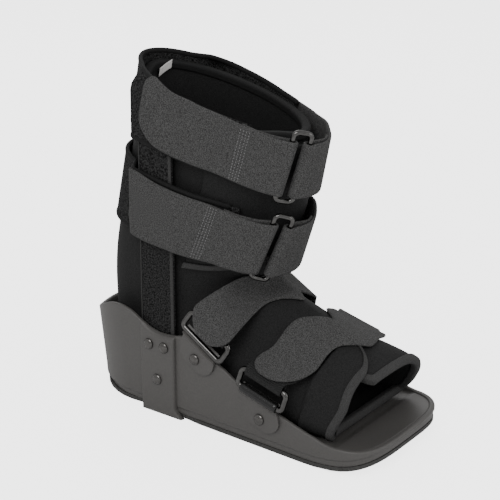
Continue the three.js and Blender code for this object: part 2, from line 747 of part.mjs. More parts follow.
// The middle of a band or tab off the calf: a band lies on the liner, or on the flap where there is one.
const flapLift = (turn) => (calfFlapOut + calfFlapWall / 2) * smooth(180, 168, turn) * smooth(46, 60, turn);
const bandOut = (turn) => flapLift(turn) + layerGap + bandThick / 2;
const tabOut = (turn) => bandOut(turn) + bandThick / 2 + 4 * gap + calfStrapThick / 2;
const loopRadius = wire + 1.5 * gap + calfStrapThick / 2;
const ringTurn = (strap, row) => strap.ringAngle + strap.ringLean * (0.5 - row);
const ringPull = (strap, turn) => smooth(48, 0, Math.abs(turn - strap.ringAngle));
const ringOut = (strap, turn) => ringStandoff * ringPull(strap, turn);

// A point of a calf strap, kept clear of the uprights. above is its distance over the band's own middle.
function strapPoint(strap, row, turn, above) {
  const p = offset(strap.form, row, turn, bandOut(turn) + above);
  const side = Math.sign(p.x);
  const beside = smooth(0, 0.24 * half, p.y) * smooth(0.62 * half, 0.515 * half, p.y);
  const near = beside * smooth(uprightTop + uprightClear.to, uprightTop + uprightClear.from, p.z);
  const needed = uprightFace(p.z, side) + 2 * layerGap + bandThick / 2 + above;
  const x = Math.abs(p.x) + near * Math.max(0, needed - Math.abs(p.x));
  return vec(side * x, p.y, p.z);
}
const tabAbove = tabOut(0) - bandOut(0);
const farDrop = 0.06;

// The same on a tab or keeper, which its ring draws outward and down. On the left side, behind the shin,
// the keeper lies a little lower than its band.
function tabPoint(strap, row, turn, above) {
  const lowered = row - farDrop * smooth(60, 20, turn);
  const p = strapPoint(strap, lowered, turn, tabAbove + ringOut(strap, turn) + above);
  return p.setZ(p.z - strap.dip * ringPull(strap, turn) + strap.endLift * smooth(185, 206, turn));
}

function bandGeometry(strap) {
  const grid = turns(60, 140, 388).map((turn) => range(3, ...strap.bandRows).map(
    (row) => strapPoint(strap, row, turn > 300 ? turn - 360 : turn, 0)));
  return ribbon(grid, bandThick);
}

// How far the rounded corners of an end narrow a strip of half width reach, at a distance from the end.
function endShare(distance, radius, reach) {
  return 1 - radius / reach * (1 - Math.sqrt(1 - (1 - clamp01(distance / radius)) ** 2));
}

// The straight frame of a calf ring: low and high are its middle at a strap's two edges.
function calfRingFrame(strap) {
  const at = (row, turn) => tabPoint(strap, row, turn, -loopRadius);
  const [lowRow, highRow] = strap.tabRows;
  const low = at(lowRow, ringTurn(strap, lowRow));
  const high = at(highRow, ringTurn(strap, highRow));
  const lengthways = high.clone().sub(low).normalize();
  const mid = (lowRow + highRow) / 2;
  const forward = at(mid, ringTurn(strap, mid) - 3).sub(at(mid, ringTurn(strap, mid) + 3));
  forward.addScaledVector(lengthways, -forward.dot(lengthways)).normalize();
  const outward = vec(0, 0, 0).crossVectors(forward, lengthways).normalize();
  if (outward.x > 0) outward.negate();
  return { low, high, lengthways, forward, outward };
}

// A strap that comes along the calf, goes round a bar of the ring and back inside itself. which is -1 for
// the tab on the rear bar and 1 for the keeper on the front bar.
function loopedStrap(strap, which, endTurn, corner, backTurns) {
  const frame = calfRingFrame(strap);
  const [lowRow, highRow] = strap.tabRows;
  const line = (row) => {
    const centre = frame.low.clone().lerp(frame.high, (row - lowRow) / (highRow - lowRow));
    centre.addScaledVector(frame.forward, which * calfRingSpan / 2);
    const barTurn = ringTurn(strap, row) - which * 7;
    const outer = turns(32, endTurn, barTurn - which * 3).map((turn) => tabPoint(strap, row, turn, 0));
    const loop = range(7, 0, 180).map((angle) => {
      const t = degrees(angle);
      return centre.clone()
        .addScaledVector(frame.outward, loopRadius * Math.cos(t))
        .addScaledVector(frame.forward, -which * loopRadius * Math.sin(t));
    });
    const inner = turns(6, barTurn - which * 5, barTurn - which * backTurns).map((turn, i) => tabPoint(
      strap, row, turn, -mix(2 * loopRadius, calfStrapThick + layerGap, clamp01((i + 1) / 4))));
    return [...outer, ...loop, ...inner];
  };
  const mid = (lowRow + highRow) / 2;
  const reach = (highRow - lowRow) / 2;
  const middleLine = line(mid);
  const halfBreadth = line(highRow)[0].distanceTo(line(lowRow)[0]) / 2;
  let travelled = 0;
  const widths = middleLine.map((p, i) => {
    if (i > 0) travelled += p.distanceTo(middleLine[i - 1]);
    return corner > 0 ? endShare(travelled, corner, halfBreadth) : 1;
  });
  const grid = middleLine.map(() => []);
  for (const s of range(5, -1, 1)) {
    line(mid + s * reach).forEach((p, i) => {
      grid[i].push(widths[i] < 1 ? line(mid + s * reach * widths[i])[i] : p);
    });
  }
  return ribbon(grid, calfStrapThick);
}

function calfRingGeometry(strap) {
  const { low, high, lengthways, forward } = calfRingFrame(strap);
  const centre = low.clone().add(high).multiplyScalar(0.5).addScaledVector(lengthways, strap.raise);
  const length = high.distanceTo(low) + 2 * (calfRingMargin + wire);
  return wireLoop(centre, lengthways, forward, length, calfRingSpan, ringCorner, wire);
}

// Foot rings, chafe tabs, webbing and straps. frame gives the middle of the lower bar, the way along it
// to the back, the way up through the ring and the way outward, on one side of the boot.
function ringFrame(ring, side) {
  const bar = barFrame(ring);
  const lean = degrees(ring.lean);
  const out = gap + chafeThick / 2 + 1.4;
  const taper = (wallHalf(bar.y + 10, 0) - wallHalf(bar.y - 10, 0)) / 20;
  const along3 = vec(side * taper * bar.alongY, bar.alongY, bar.alongZ).normalize();
  const up = vec(-side * Math.sin(lean), bar.upY * Math.cos(lean), bar.upZ * Math.cos(lean));
  up.addScaledVector(along3, -up.dot(along3)).normalize();
  const outward = vec(0, 0, 0).crossVectors(along3, up).normalize();
  if (outward.x * side < 0) outward.negate();
  return { origin: vec(side * (wallHalf(bar.y, 0) + out), bar.y, bar.z), along: along3, up, outward };
}

function inFrame(frame, a, u, o) {
  return frame.origin.clone()
    .addScaledVector(frame.along, a)
    .addScaledVector(frame.up, u)
    .addScaledVector(frame.outward, o);
}

function footRingGeometry(ring, side) {
  const frame = ringFrame(ring, side);
  const centre = inFrame(frame, 0, footRingHeight / 2, 0);
  return wireLoop(centre, frame.along, frame.up, footRingWidth, footRingHeight, ringCorner, wire);
}

// A chafe tab lies on the wall under its rivet and hooks behind the ring's lower bar.
function chafeGeometry(ring, side) {
  const frame = ringFrame(ring, side);
  const bar = barFrame(ring);
  const radius = wire + gap + chafeThick / 2;
  const onWall = gap + chafeThick / 2;
  const rows = [];
  const flat = range(7, -ring.chafeDown, -radius - 3.4);
  for (const u of flat) {
    const narrow = endShare(u + ring.chafeDown + 0.6, chafeCorner, chafeWidth / 2);
    rows.push(range(5, -1, 1).map((s) => {
      const a = s * narrow * chafeWidth / 2 + ring.rivetAlong * smooth(-4, -14, u);
      const y = bar.y + bar.alongY * a + bar.upY * u;
      const z = bar.z + bar.alongZ * a + bar.upZ * u;
      return vec(side * (wallHalf(y, z) + onWall), y, z);
    }));
  }
  for (const angle of range(7, -78, -250)) {
    const t = degrees(angle);
    rows.push(range(5, -1, 1).map((s) => inFrame(
      frame, s * chafeWidth / 2, radius * Math.sin(t), radius * Math.cos(t))));
  }
  const hole = rivetHole(chafeRivets[footRings.indexOf(ring)], side);
  return toGeometry(toManifold(ribbon(rows, chafeThick)).subtract(hole));
}

// The two foot straps, as rows of the liner at its sides and over its top. ringEnds and farEnds are the
// heights over the ring's lower bar that a strap passes on the right and on the left, ringOver from it.
// Its webbing lies under it at underSteps and goes on to the ring past overEnd.
const footStraps = [
  { ring: 0, firstTurn: 126, lastTurn: 47, sideBack: 8, midBack: 9, topBack: 6.8, sideFront: 4.3,
    midFront: 4.2, topFront: 3,
    ringEnds: [5.5, 14, 23], farEnds: [5.5, 14, 19.5], ringOver: 3, underSteps: [], overEnd: [17.5, 16],
    flapLift: 0, sideLift: 4, farLift: 2, lift: 0.6 },
  { ring: 1, firstTurn: 150, lastTurn: 30, sideBack: 3, midBack: 2.85, topBack: 2.15, sideFront: 1.7, midFront: 1.6,
    topFront: 1, farMidFront: 1.2,
    ringEnds: [20], farEnds: [20], ringOver: 2.9, underSteps: [4, 3, 2, 1], overEnd: [20],
    flapLift: 3.2, sideLift: 2.6, farLift: 3, lift: 0.6 },
];
const footStrapSteps = 40;
const webbingSink = 1.2;
const webbingEndSink = 3.1;
const webbingRadius = wire + gap + webbingThick / 2;
const strapOverWebbing = webbingThick / 2 + gap + footStrapThick / 2;

// The strap's row at a turn: s is -1 on its rear edge and 1 on its front edge.
function footStrapRow(strap, s, turn) {
  const rise = clamp01(1 - Math.abs(turn - 90) / 78);
  const ease = (side, mid, top) => (
    rise < 0.5 ? mix(side, mid, smooth(0, 0.5, rise)) : mix(mid, top, smooth(0.5, 1, rise)));
  const midFront = turn < 90 ? strap.farMidFront ?? strap.midFront : strap.midFront;
  return mix(
    ease(strap.sideBack, strap.midBack, strap.topBack),
    ease(strap.sideFront, midFront, strap.topFront), (s + 1) / 2);
}

function footStrapOut(strap, turn) {
  const onNear = strap.sideLift * smooth(24, 56, turn - 90);
  const onSide = turn > 90 ? onNear : strap.farLift * smooth(34, 48, 90 - turn);
  const onFlap = strap.flapLift * smooth(84, 104, turn);
  return footStrapThick / 2 + strap.lift + Math.max(onFlap, onSide);
}

function footStrapLine(strap, s) {
  const ring = footRings[strap.ring];
  const over = turns(13, strap.firstTurn, strap.lastTurn).map(
    (turn) => offset(liner, footStrapRow(strap, s, turn), turn, footStrapOut(strap, turn)));
  const ends = (side) => (side < 0 ? strap.ringEnds : strap.farEnds).map(
    (up) => inFrame(ringFrame(ring, side), -s * footStrapWidth / 2, up, strap.ringOver + strapOverWebbing));
  const points = [...ends(-1), ...over, ...ends(1).reverse()];
  return new THREE.CatmullRomCurve3(points, false, 'centripetal').getPoints(footStrapSteps);
}

function footStrapGeometry(strap) {
  const middle = footStrapLine(strap, 0);
  let travelled = 0;
  const grid = middle.map((p, i) => {
    if (i > 0) travelled += p.distanceTo(middle[i - 1]);
    const share = endShare(travelled + 0.4, footStrapCorner, footStrapWidth / 2);
    return range(5, -1, 1).map((s) => footStrapLine(strap, s * share)[i]);
  });
  return ribbon(grid, footStrapThick);
}

// A point under a foot strap, on its webbing's middle: step counts along the strap from its end.
function underStrap(strap, side, share, step) {
  const i = side < 0 ? step : footStrapSteps - step;
  const line = footStrapLine(strap, share);
  const tangent = line[i + 1].clone().sub(line[i - 1]);
  const across = footStrapLine(strap, share + 0.1)[i].clone().sub(line[i]);
  const outward = vec(0, 0, 0).crossVectors(across, tangent).normalize();
  return line[i].clone().addScaledVector(outward, -strapOverWebbing - webbingSink);
}

// Webbing: folded round the upper bar of a foot ring, with its outer layer under the strap.
function webbingGeometry(strap, side) {
  const frame = ringFrame(footRings[strap.ring], side);
  const columns = range(4, -1, 1).map((s) => {
    const share = s * webbingWidth / footStrapWidth;
    const a = -s * webbingWidth / 2;
    const loop = range(7, 90, -90).map((angle) => {
      const t = degrees(angle);
      return inFrame(frame, a, footRingHeight - webbingRadius * Math.cos(t), webbingRadius * Math.sin(t));
    });
    const innerTail = [4, 8].map(
      (more) => inFrame(frame, a, footRingHeight + more, -webbingRadius + 0.1 * more));
    const tail = strap.underSteps.map((step) => underStrap(strap, side, share, step));
    const sink = strap.underSteps.length > 0 ? webbingEndSink : 0;
    const atEnd = strap.overEnd.map((up) => inFrame(frame, a, up, strap.ringOver - sink));
    return [...tail, ...atEnd, ...loop, ...innerTail];
  });
  const grid = columns[0].map((_, i) => columns.map((column) => column[i]));
  return ribbon(grid, webbingThick);
}

// Finishes
const finish = (color, roughness, metalness = 0) => new THREE.MeshStandardMaterial(
  { color, roughness, metalness });
const shellPlastic = finish(0x585650, 0.55);
const soleRubber = finish(0x3f3e3a, 0.85);
const linerFabric = finish(0x1c1c1c, 0.9);
const pileFabric = finish(0x242424, 0.98);
const strapFabric = finish(0x504e4d, 0.9);
const tapeFabric = finish(0x4b4948, 0.85);
const webbingFabric = finish(0x161616, 0.85);
const ringMetal = finish(0x8c8a86, 0.25, 1);
const rivetMetal = finish(0x45433f, 0.3, 0.8);
const labelFabric = finish(0xe6e1de, 0.8);

// Assembly
const group = new THREE.Group();
group.name = 'walking_boot';

function add(name, geometry, material) {
  const mesh = new THREE.Mesh(geometry, material);
  mesh.name = name;
  group.add(mesh);
}

const sides = [{ name: 'right', side: -1 }, { name: 'left', side: 1 }];
add('outsole', outsoleGeometry(), soleRubber);
add('base_shell', shellGeometry(), shellPlastic);
add('liner', linerGeometry(), linerFabric);
add('toe_flap', toeFlapGeometry(), linerFabric);
add('calf_flap', calfFlapGeometry(), linerFabric);
add('rim_binding', bindingGeometry(rimEdge(), linerWall, true, true), tapeFabric);
add('toe_binding', bindingGeometry(toeEdge(), linerWall, false, true), tapeFabric);
const toeFlapTape = flapEdge(toeFlapFront, toeFlapTurns.filter((turn) => turn > 117), toeFlapOut);
add('toe_flap_binding', bindingGeometry(toeFlapTape, toeFlapWall, false, false), tapeFabric);
const calfFlapTape = flapEdge(calfFlapHem, calfFlapTurns, calfFlapOut);
add('calf_flap_binding', bindingGeometry(calfFlapTape, calfFlapWall, false, false), tapeFabric);
add('care_label', labelGeometry(), labelFabric);

for (const { name, side } of sides) {
  add(`upright_${name}`, uprightGeometry(side), pileFabric);
  for (const [i, place] of rivetPlaces.entries()) {
    add(`rivet_${name}_${i + 1}`, rivetGeometry(place, side), rivetMetal);
  }
  for (const [i, ring] of footRings.entries()) {
    add(`${ring.name}_chafe_${name}`, chafeGeometry(ring, side), shellPlastic);
    add(`${ring.name}_ring_${name}`, footRingGeometry(ring, side), ringMetal);
    add(`${ring.name}_webbing_${name}`, webbingGeometry(footStraps[i], side), webbingFabric);
  }
}

for (const [i, ring] of footRings.entries()) {
  add(`${ring.name}_strap`, footStrapGeometry(footStraps[i]), strapFabric);
}

for (const strap of calfStraps) {
  add(`${strap.name}_band`, bandGeometry(strap), pileFabric);
  add(`${strap.name}_tab`, loopedStrap(strap, -1, strap.end, calfStrapCorner, 26), strapFabric);
  add(`${strap.name}_keeper`, loopedStrap(strap, 1, -24, 0, 22), strapFabric);
  add(`${strap.name}_ring`, calfRingGeometry(strap), ringMetal);
}

export default group;
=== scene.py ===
# %% [markdown]
# A low medical walking boot: a rocker-soled plastic shell, a padded cloth liner that is open at the calf and
# at the toes, two side uprights in pile covers, two calf straps on rectangular rings and two foot straps on
# D-rings. The sole, the rings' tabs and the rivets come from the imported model. The shell, the rings and
# every cloth piece are modelled again here, finer and softer, on the same curves and in the same place.
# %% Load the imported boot
import bpy
import math
import numpy as np
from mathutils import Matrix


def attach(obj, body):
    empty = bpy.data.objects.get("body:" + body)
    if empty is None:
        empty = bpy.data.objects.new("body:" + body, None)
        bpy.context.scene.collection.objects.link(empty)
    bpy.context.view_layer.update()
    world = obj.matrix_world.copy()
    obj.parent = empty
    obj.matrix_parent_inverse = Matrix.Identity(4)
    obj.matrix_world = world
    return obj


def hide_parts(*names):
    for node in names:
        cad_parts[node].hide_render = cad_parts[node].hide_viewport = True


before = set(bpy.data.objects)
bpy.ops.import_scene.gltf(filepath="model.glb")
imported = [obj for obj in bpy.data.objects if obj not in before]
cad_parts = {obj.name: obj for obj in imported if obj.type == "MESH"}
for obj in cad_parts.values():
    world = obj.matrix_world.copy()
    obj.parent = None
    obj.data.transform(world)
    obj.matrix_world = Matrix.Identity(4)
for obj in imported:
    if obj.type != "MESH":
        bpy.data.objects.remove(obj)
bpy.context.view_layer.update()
print("nodes in the frame:", len(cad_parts))

# %% [markdown]
# The camera stands at the photo's angle: in front of the boot's right side and about 20 degrees up.
# %% Camera
from mathutils import Vector

camera_data = bpy.data.cameras.new("camera")
camera_data.lens = 96.3
camera_data.sensor_width = 36.0
camera = bpy.data.objects.new("camera", camera_data)
bpy.context.scene.collection.objects.link(camera)
camera.location = (-0.75983, -0.56143, 0.46795)
aim = Vector((0.0, 0.00367, 0.12565)) - Vector(camera.location)
camera.rotation_euler = aim.to_track_quat("-Z", "Y").to_euler()
bpy.context.scene.camera = camera
print("camera looks along", tuple(round(v, 3) for v in aim.normalized()))

# %% [markdown]
# The light is plain and soft, as in a catalogue picture: a white surround, one large lamp from the upper
# left of the camera for the shine on plastic and metal, and a weak one from the toe side.
# %% Floor and light
world = bpy.data.worlds.new("surround")
bpy.context.scene.world = world
world.use_nodes = True
world.node_tree.nodes["Background"].inputs["Color"].default_value = (1.0, 1.0, 1.0, 1.0)
world.node_tree.nodes["Background"].inputs["Strength"].default_value = 0.62


def lamp(name, place, aim_at, size, power):
    data = bpy.data.lights.new(name, "AREA")
    data.shape = "RECTANGLE"
    data.size = size[0]
    data.size_y = size[1]
    data.energy = power
    light = bpy.data.objects.new(name, data)
    light.location = place
    direction = Vector(aim_at) - Vector(place)
    light.rotation_euler = direction.to_track_quat("-Z", "Y").to_euler()
    bpy.context.scene.collection.objects.link(light)
    return light


key = lamp("key", (-1.1, -0.35, 1.25), (0, 0, 0.1), (0.9, 0.7), 8.0)
toe_lamp = lamp("toe", (0.35, -1.5, 0.7), (0, 0, 0.1), (0.8, 0.8), 2.8)
rear_lamp = lamp("rear", (0.9, 1.0, 1.1), (0, 0, 0.15), (0.9, 0.9), 4.0)

floor_mesh = bpy.data.meshes.new("floor")
reach = 6.0
floor_corners = [(-reach, -reach, 0), (reach, -reach, 0), (reach, reach, 0), (-reach, reach, 0)]
floor_mesh.from_pydata(floor_corners, [], [(0, 1, 2, 3)])
floor = bpy.data.objects.new("floor", floor_mesh)
bpy.context.scene.collection.objects.link(floor)
print("lamps:", [light.name for light in (key, toe_lamp, rear_lamp)])

# %% [markdown]
# All lengths below are millimetres until a mesh is made. Two small helpers do most of the shaping: a smooth
# step, and a smooth curve through the values of a table's column, which may be read between its rows.
# %% Smooth steps and smooth columns
MM = 0.001


def smooth(start, end, value):
    t = np.clip((np.asarray(value, float) - start) / (end - start), 0, 1)
    return t * t * (3 - 2 * t)


def along(values, at):
    values = np.asarray(values, float)
    at = np.asarray(at, float)
    last = len(values) - 1
    i = np.clip(np.floor(at).astype(int), 0, last - 1)
    t = at - i
    b = values[i]
    c = values[i + 1]
    a = np.where(i > 0, values[np.maximum(i - 1, 0)], 2 * b - c)
    d = np.where(i + 1 < last, values[np.minimum(i + 2, last)], 2 * c - b)
    curve = 0.5 * (2 * b + (c - a) * t + (2 * a - 5 * b + 4 * c - d) * t**2 + (3 * b - a - 3 * c + d) * t**3)
    before = values[0] + (values[1] - values[0]) * at
    after = values[last] + (values[last] - values[last - 1]) * (at - last)
    return np.where(at <= 0, before, np.where(at >= last, after, curve))


def mix(a, b, t):
    return a + (b - a) * t


print("halfway through 0, 1, 4:", float(along([0, 1, 4], 0.5)))

# %% [markdown]
# A cloth tube such as the liner is a row of closed sections. Each section runs through a point at the sole
# or the back of the leg and one at the instep or the shin. Two powers say how square its two halves are.
# A place on the tube is a row and a turn: 90 degrees is the front, 180 the right side, 270 the back.
# %% Sections of a cloth tube
HALF = 140.0
HALF_WIDTH = 59.5
INSTEP = 112.0
CALF = 148.0
CALF_HALF = 45.0
CUP = 82.0
SHELL_WALL = 3.2
UPRIGHT_THICK = 4.2
GAP = 0.3
LAYER = 0.35
COLUMNS = ("backY", "backZ", "frontY", "frontZ", "half", "shift", "taper", "bow", "roll",
           "backSquare", "frontSquare")


def sections(rows):
    """rows: low, high, room, then the shares in the order of COLUMNS."""
    table = np.array(rows, float)
    low, high, room = table[:, 0], table[:, 1], table[:, 2]
    form = {name: table[:, 3 + i] for i, name in enumerate(COLUMNS)}
    form["backY"] = form["backY"] * HALF
    form["frontY"] = form["frontY"] * HALF
    form["bow"] = form["bow"] * HALF
    form["backZ"] = low + form["backZ"] * high
    form["frontZ"] = low + form["frontZ"] * high
    form["half"] = form["half"] * room
    form["shift"] = form["shift"] * room
    return form


def surface(form, row, turn):
    row, turn = np.broadcast_arrays(np.asarray(row, float), np.asarray(turn, float))
    c = np.cos(np.radians(turn))
    s = np.sin(np.radians(turn))
    square = np.where(s > 0, along(form["frontSquare"], row), along(form["backSquare"], row))
    power = 2 / square
    across = np.sign(c) * np.abs(c) ** power
    share = (np.sign(s) * np.abs(s) ** power + 1) / 2
    bow = np.maximum(0, along(form["bow"], row)) * np.sin(np.pi * share)
    narrow = 1 - np.maximum(0, along(form["taper"], row)) * share
    x = along(form["half"], row) * across * narrow + along(form["shift"], row)
    roll = np.maximum(0, along(form["roll"], row)) * (x + CALF_HALF)
    y = mix(along(form["backY"], row), along(form["frontY"], row), share) - bow
    z = mix(along(form["backZ"], row), along(form["frontZ"], row), share) - roll
    return np.stack([x, y, z], axis=-1)


def unit(v):
    return v / np.maximum(np.linalg.norm(v, axis=-1, keepdims=True), 1e-9)


def offset(form, row, turn, out):
    row, turn = np.broadcast_arrays(np.asarray(row, float), np.asarray(turn, float))
    round_way = surface(form, row, turn + 1) - surface(form, row, turn - 1)
    up_way = surface(form, row + 0.02, turn) - surface(form, row - 0.02, turn)
    normal = unit(np.cross(up_way, round_way))
    return surface(form, row, turn) + normal * np.asarray(out, float)[..., None]


# %% [markdown]
# The liner's own sections, from the toe opening round the heel and up to the rim, as shares of the boot's
# half length, the instep's height and the calf's height.
# %% The liner's sections
SIDE_ROOM = 2
FOOT_ROOM = HALF_WIDTH - SHELL_WALL - SIDE_ROOM
HEEL_HALF = 0.924 * HALF_WIDTH
HEEL_CENTRE = 0.571 * HALF
TOE_CENTRE = -0.679 * HALF
PILLAR_Y = 48


def wall_half(y):
    """Outer face of the shell's side wall under its flare."""
    share = (HEEL_CENTRE - np.asarray(y, float)) / (HEEL_CENTRE - TOE_CENTRE)
    return mix(HEEL_HALF, HALF_WIDTH, np.clip(share, 0, 1))


ANKLE_ROOM = float(wall_half(PILLAR_Y)) - SHELL_WALL - GAP - UPRIGHT_THICK - 3 * LAYER
foot_rows = [
    (-0.729, 0.175, -0.88, 0.555, 0.93, 0, 0.18, 0.04, 0, 6.0, 3.4),
    (-0.629, 0.163, -0.745, 0.655, 0.945, 0, 0.2, 0.03, 0, 6.0, 2.1),
    (-0.486, 0.158, -0.536, 0.75, 0.955, 0, 0.18, 0.01, 0, 6.0, 1.5),
    (-0.286, 0.158, -0.329, 0.855, 0.945, 0, 0.17, 0, 0, 5.5, 1.4),
    (-0.036, 0.158, -0.214, 0.92, 0.93, 0, 0.13, 0, 0, 5.0, 1.35),
]
ankle_rows = [
    (0.25, 0.158, -0.179, 0.96, 1.0, 0, 0.08, 0, 0, 4.4, 1.35),
    (0.55, 0.158, -0.164, 0.99, 0.99, 0, 0.04, 0, 0, 3.6, 1.4),
    (0.757, 0.20, -0.157, 1.017, 0.98, -0.005, 0.02, 0, 0, 2.9, 1.5),
    (0.85, 0.41, -0.157, 1.045, 0.965, -0.01, 0, 0, 0, 2.7, 1.6),
    (0.875, 0.71, -0.161, 1.075, 0.955, -0.02, 0, 0, 0, 2.6, 1.75),
    (0.865, 0.99, -0.171, 1.10, 0.945, -0.03, 0, 0, 0, 2.6, 1.9),
]
calf_rows = [
    (0.832, 0.20, -0.20, 0.092, 0.975, -0.035, 0, 0, 0, 2.5, 2.0),
    (0.788, 0.375, -0.245, 0.245, 0.96, -0.04, 0, 0, 0.01, 2.45, 1.95),
    (0.748, 0.54, -0.295, 0.40, 0.95, -0.045, 0, 0, 0.02, 2.4, 1.95),
    (0.708, 0.735, -0.314, 0.52, 0.94, -0.055, 0, 0, 0.03, 2.3, 1.95),
    (0.678, 0.885, -0.318, 0.655, 0.93, -0.06, 0, 0, 0.038, 2.15, 1.95),
    (0.653, 1.01, -0.321, 0.775, 0.93, -0.06, 0, 0, 0.045, 2.1, 1.95),
]
liner_form = sections(
    [(0, INSTEP, FOOT_ROOM, *row) for row in foot_rows]
    + [(0, INSTEP, ANKLE_ROOM, *row) for row in ankle_rows]
    + [(INSTEP, CALF, CALF_HALF, *row) for row in calf_rows])
RIM = 16
RIM_DIP = 0.3


def rim_at(turn):
    """The rim dips a little on the right side, behind the upper strap."""
    return RIM - RIM_DIP * smooth(110, 150, turn) * smooth(275, 235, turn)


print("rim at the back, mm:", surface(liner_form, RIM, 270).round(1))

# %% [markdown]
# Meshes are made from grids of points. A strip of cloth gets an outer and an inner face about its middle,
# and it thins to a round edge, as folded or cut webbing does. Its UVs are real lengths along and across it,
# so one weave fits all strips.
# %% Mesh helpers
def mesh_piece(name, points, faces, uvs=None):
    points = np.asarray(points, float) * MM
    mesh = bpy.data.meshes.new(name)
    corners = points[np.array([face[:3] for face in faces])]
    volume = np.einsum("ij,ij->i", corners[:, 0], np.cross(corners[:, 1], corners[:, 2])).sum()
    faces = [face[::-1] for face in faces] if volume < 0 else faces
    mesh.from_pydata(points.tolist(), [], faces)
    if uvs is not None:
        layer = mesh.uv_layers.new(name="cloth")
        ids = np.empty(len(mesh.loops), int)
        mesh.loops.foreach_get("vertex_index", ids)
        layer.data.foreach_set("uv", (np.asarray(uvs, float) * MM)[ids].ravel())
    mesh.polygons.foreach_set("use_smooth", [True] * len(mesh.polygons))
    mesh.update()
    piece = bpy.data.objects.new(name, mesh)
    bpy.context.scene.collection.objects.link(piece)
    return piece


def grid_faces(rows, columns, first=0, closed=False):
    faces = []
    for i in range(rows - 1):
        for j in range(columns if closed else columns - 1):
            k = (j + 1) % columns
            a = first + i * columns
            b = a + columns
            faces.append((a + j, a + k, b + k, b + j))
    return faces


def grid_normals(grid):
    down = np.gradient(grid, axis=0)
    across = np.gradient(grid, axis=1)
    return unit(np.cross(down, across))


def lengths(points):
    steps = np.linalg.norm(np.diff(points, axis=0), axis=-1)
    return np.concatenate([[0], np.cumsum(steps)])


def round_share(distance, radius):
    return np.sqrt(np.clip(1 - (1 - np.clip(distance / radius, 0, 1)) ** 2, 0.02, 1))


def strip(name, grid, thickness, edge=None, ends=True):
    """A closed strip about a grid of its middle: rows along it, columns across it."""
    rows, columns = grid.shape[:2]
    edge = thickness * 0.6 if edge is None else edge
    v = lengths(grid[rows // 2])
    u = lengths(grid[:, columns // 2])
    side = round_share(np.minimum(v, v[-1] - v), edge)[None, :]
    end = round_share(np.minimum(u, u[-1] - u), edge)[:, None] if ends else np.ones((rows, 1))
    swell = (np.minimum(side, end) * thickness / 2)[..., None]
    normals = grid_normals(grid)
    outer = grid + normals * swell
    inner = grid - normals * swell
    points = np.concatenate([outer.reshape(-1, 3), inner.reshape(-1, 3)])
    under = rows * columns
    faces = grid_faces(rows, columns)
    faces += [face[::-1] for face in grid_faces(rows, columns, under)]
    for j in range(columns - 1):
        e = (rows - 1) * columns + j
        faces.append((j + 1, j, under + j, under + j + 1))
        faces.append((e, e + 1, under + e + 1, under + e))
    for i in range(rows - 1):
        a = i * columns
        e = a + columns - 1
        faces.append((a, a + columns, under + a + columns, under + a))
        faces.append((e + columns, e, under + e, under + e + columns))
    uv = np.stack(np.meshgrid(u, v, indexing="ij"), axis=-1).reshape(-1, 2)
    return mesh_piece(name, points, faces, np.concatenate([uv, uv]))


def tube(name, rings, closed):
    """Rings of points joined in a row; a closed one meets itself, and an open one has flat ends."""
    rings = np.asarray(rings)
    if closed:
        rings = np.concatenate([rings, rings[:1]])
    rows, columns = rings.shape[:2]
    faces = grid_faces(rows, columns, closed=True)
    if not closed:
        faces.append(tuple(range(columns))[::-1])
        faces.append(tuple((rows - 1) * columns + j for j in range(columns)))
    u = lengths(rings[:, 0])
    v = lengths(rings[0])
    uv = np.stack(np.meshgrid(u, v, indexing="ij"), axis=-1).reshape(-1, 2)
    return mesh_piece(name, rings.reshape(-1, 3), faces, uv)


def across_columns(count):
    """Places from -1 to 1, closer together near the edges."""
    t = np.linspace(-1, 1, count)
    return np.sign(t) * (1 - (1 - np.abs(t)) ** 1.6)


def place(piece, nodes, slot_name, material):
    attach(piece, "root")
    if nodes:
        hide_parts(*nodes)
    piece.data.materials.append(material)
    return piece


print("columns across a strip:", across_columns(7).round(2))

# %% [markdown]
# Three effects are used by more than one finish, so each is a node group: a fine grain, a woven or ribbed
# height from the strip's UVs, and a speckle of two colours. They put out heights and colours only.
# %% Shader groups
def new_group(name, inputs, outputs):
    group = bpy.data.node_groups.new(name, "ShaderNodeTree")
    for label, kind, value in inputs:
        socket = group.interface.new_socket(name=label, in_out="INPUT", socket_type=kind)
        if value is not None:
            socket.default_value = value
    for label, kind in outputs:
        group.interface.new_socket(name=label, in_out="OUTPUT", socket_type=kind)
    enter = group.nodes.new("NodeGroupInput")
    leave = group.nodes.new("NodeGroupOutput")
    return group, enter, leave


def maths(tree, operation, a, b=None, c=None):
    node = tree.nodes.new("ShaderNodeMath")
    node.operation = operation
    for i, value in enumerate((a, b, c)):
        if value is None:
            continue
        if isinstance(value, (int, float)):
            node.inputs[i].default_value = value
        else:
            tree.links.new(value, node.inputs[i])
    return node.outputs[0]


def noise(tree, vector, scale, detail=2.0, rough=0.5):
    node = tree.nodes.new("ShaderNodeTexNoise")
    node.inputs["Detail"].default_value = detail
    node.inputs["Roughness"].default_value = rough
    tree.links.new(vector, node.inputs["Vector"])
    if isinstance(scale, (int, float)):
        node.inputs["Scale"].default_value = scale
    else:
        tree.links.new(scale, node.inputs["Scale"])
    return node.outputs[0]


def make_grain():
    group, enter, leave = new_group(
        "grain", [("Vector", "NodeSocketVector", None), ("Scale", "NodeSocketFloat", 900.0)],
        [("Height", "NodeSocketFloat"), ("Patches", "NodeSocketFloat")])
    fine = noise(group, enter.outputs["Vector"], enter.outputs["Scale"], 3.0, 0.6)
    broad_scale = maths(group, "MULTIPLY", enter.outputs["Scale"], 0.04)
    broad = noise(group, enter.outputs["Vector"], broad_scale, 3.0, 0.5)
    group.links.new(fine, leave.inputs["Height"])
    group.links.new(broad, leave.inputs["Patches"])
    return group


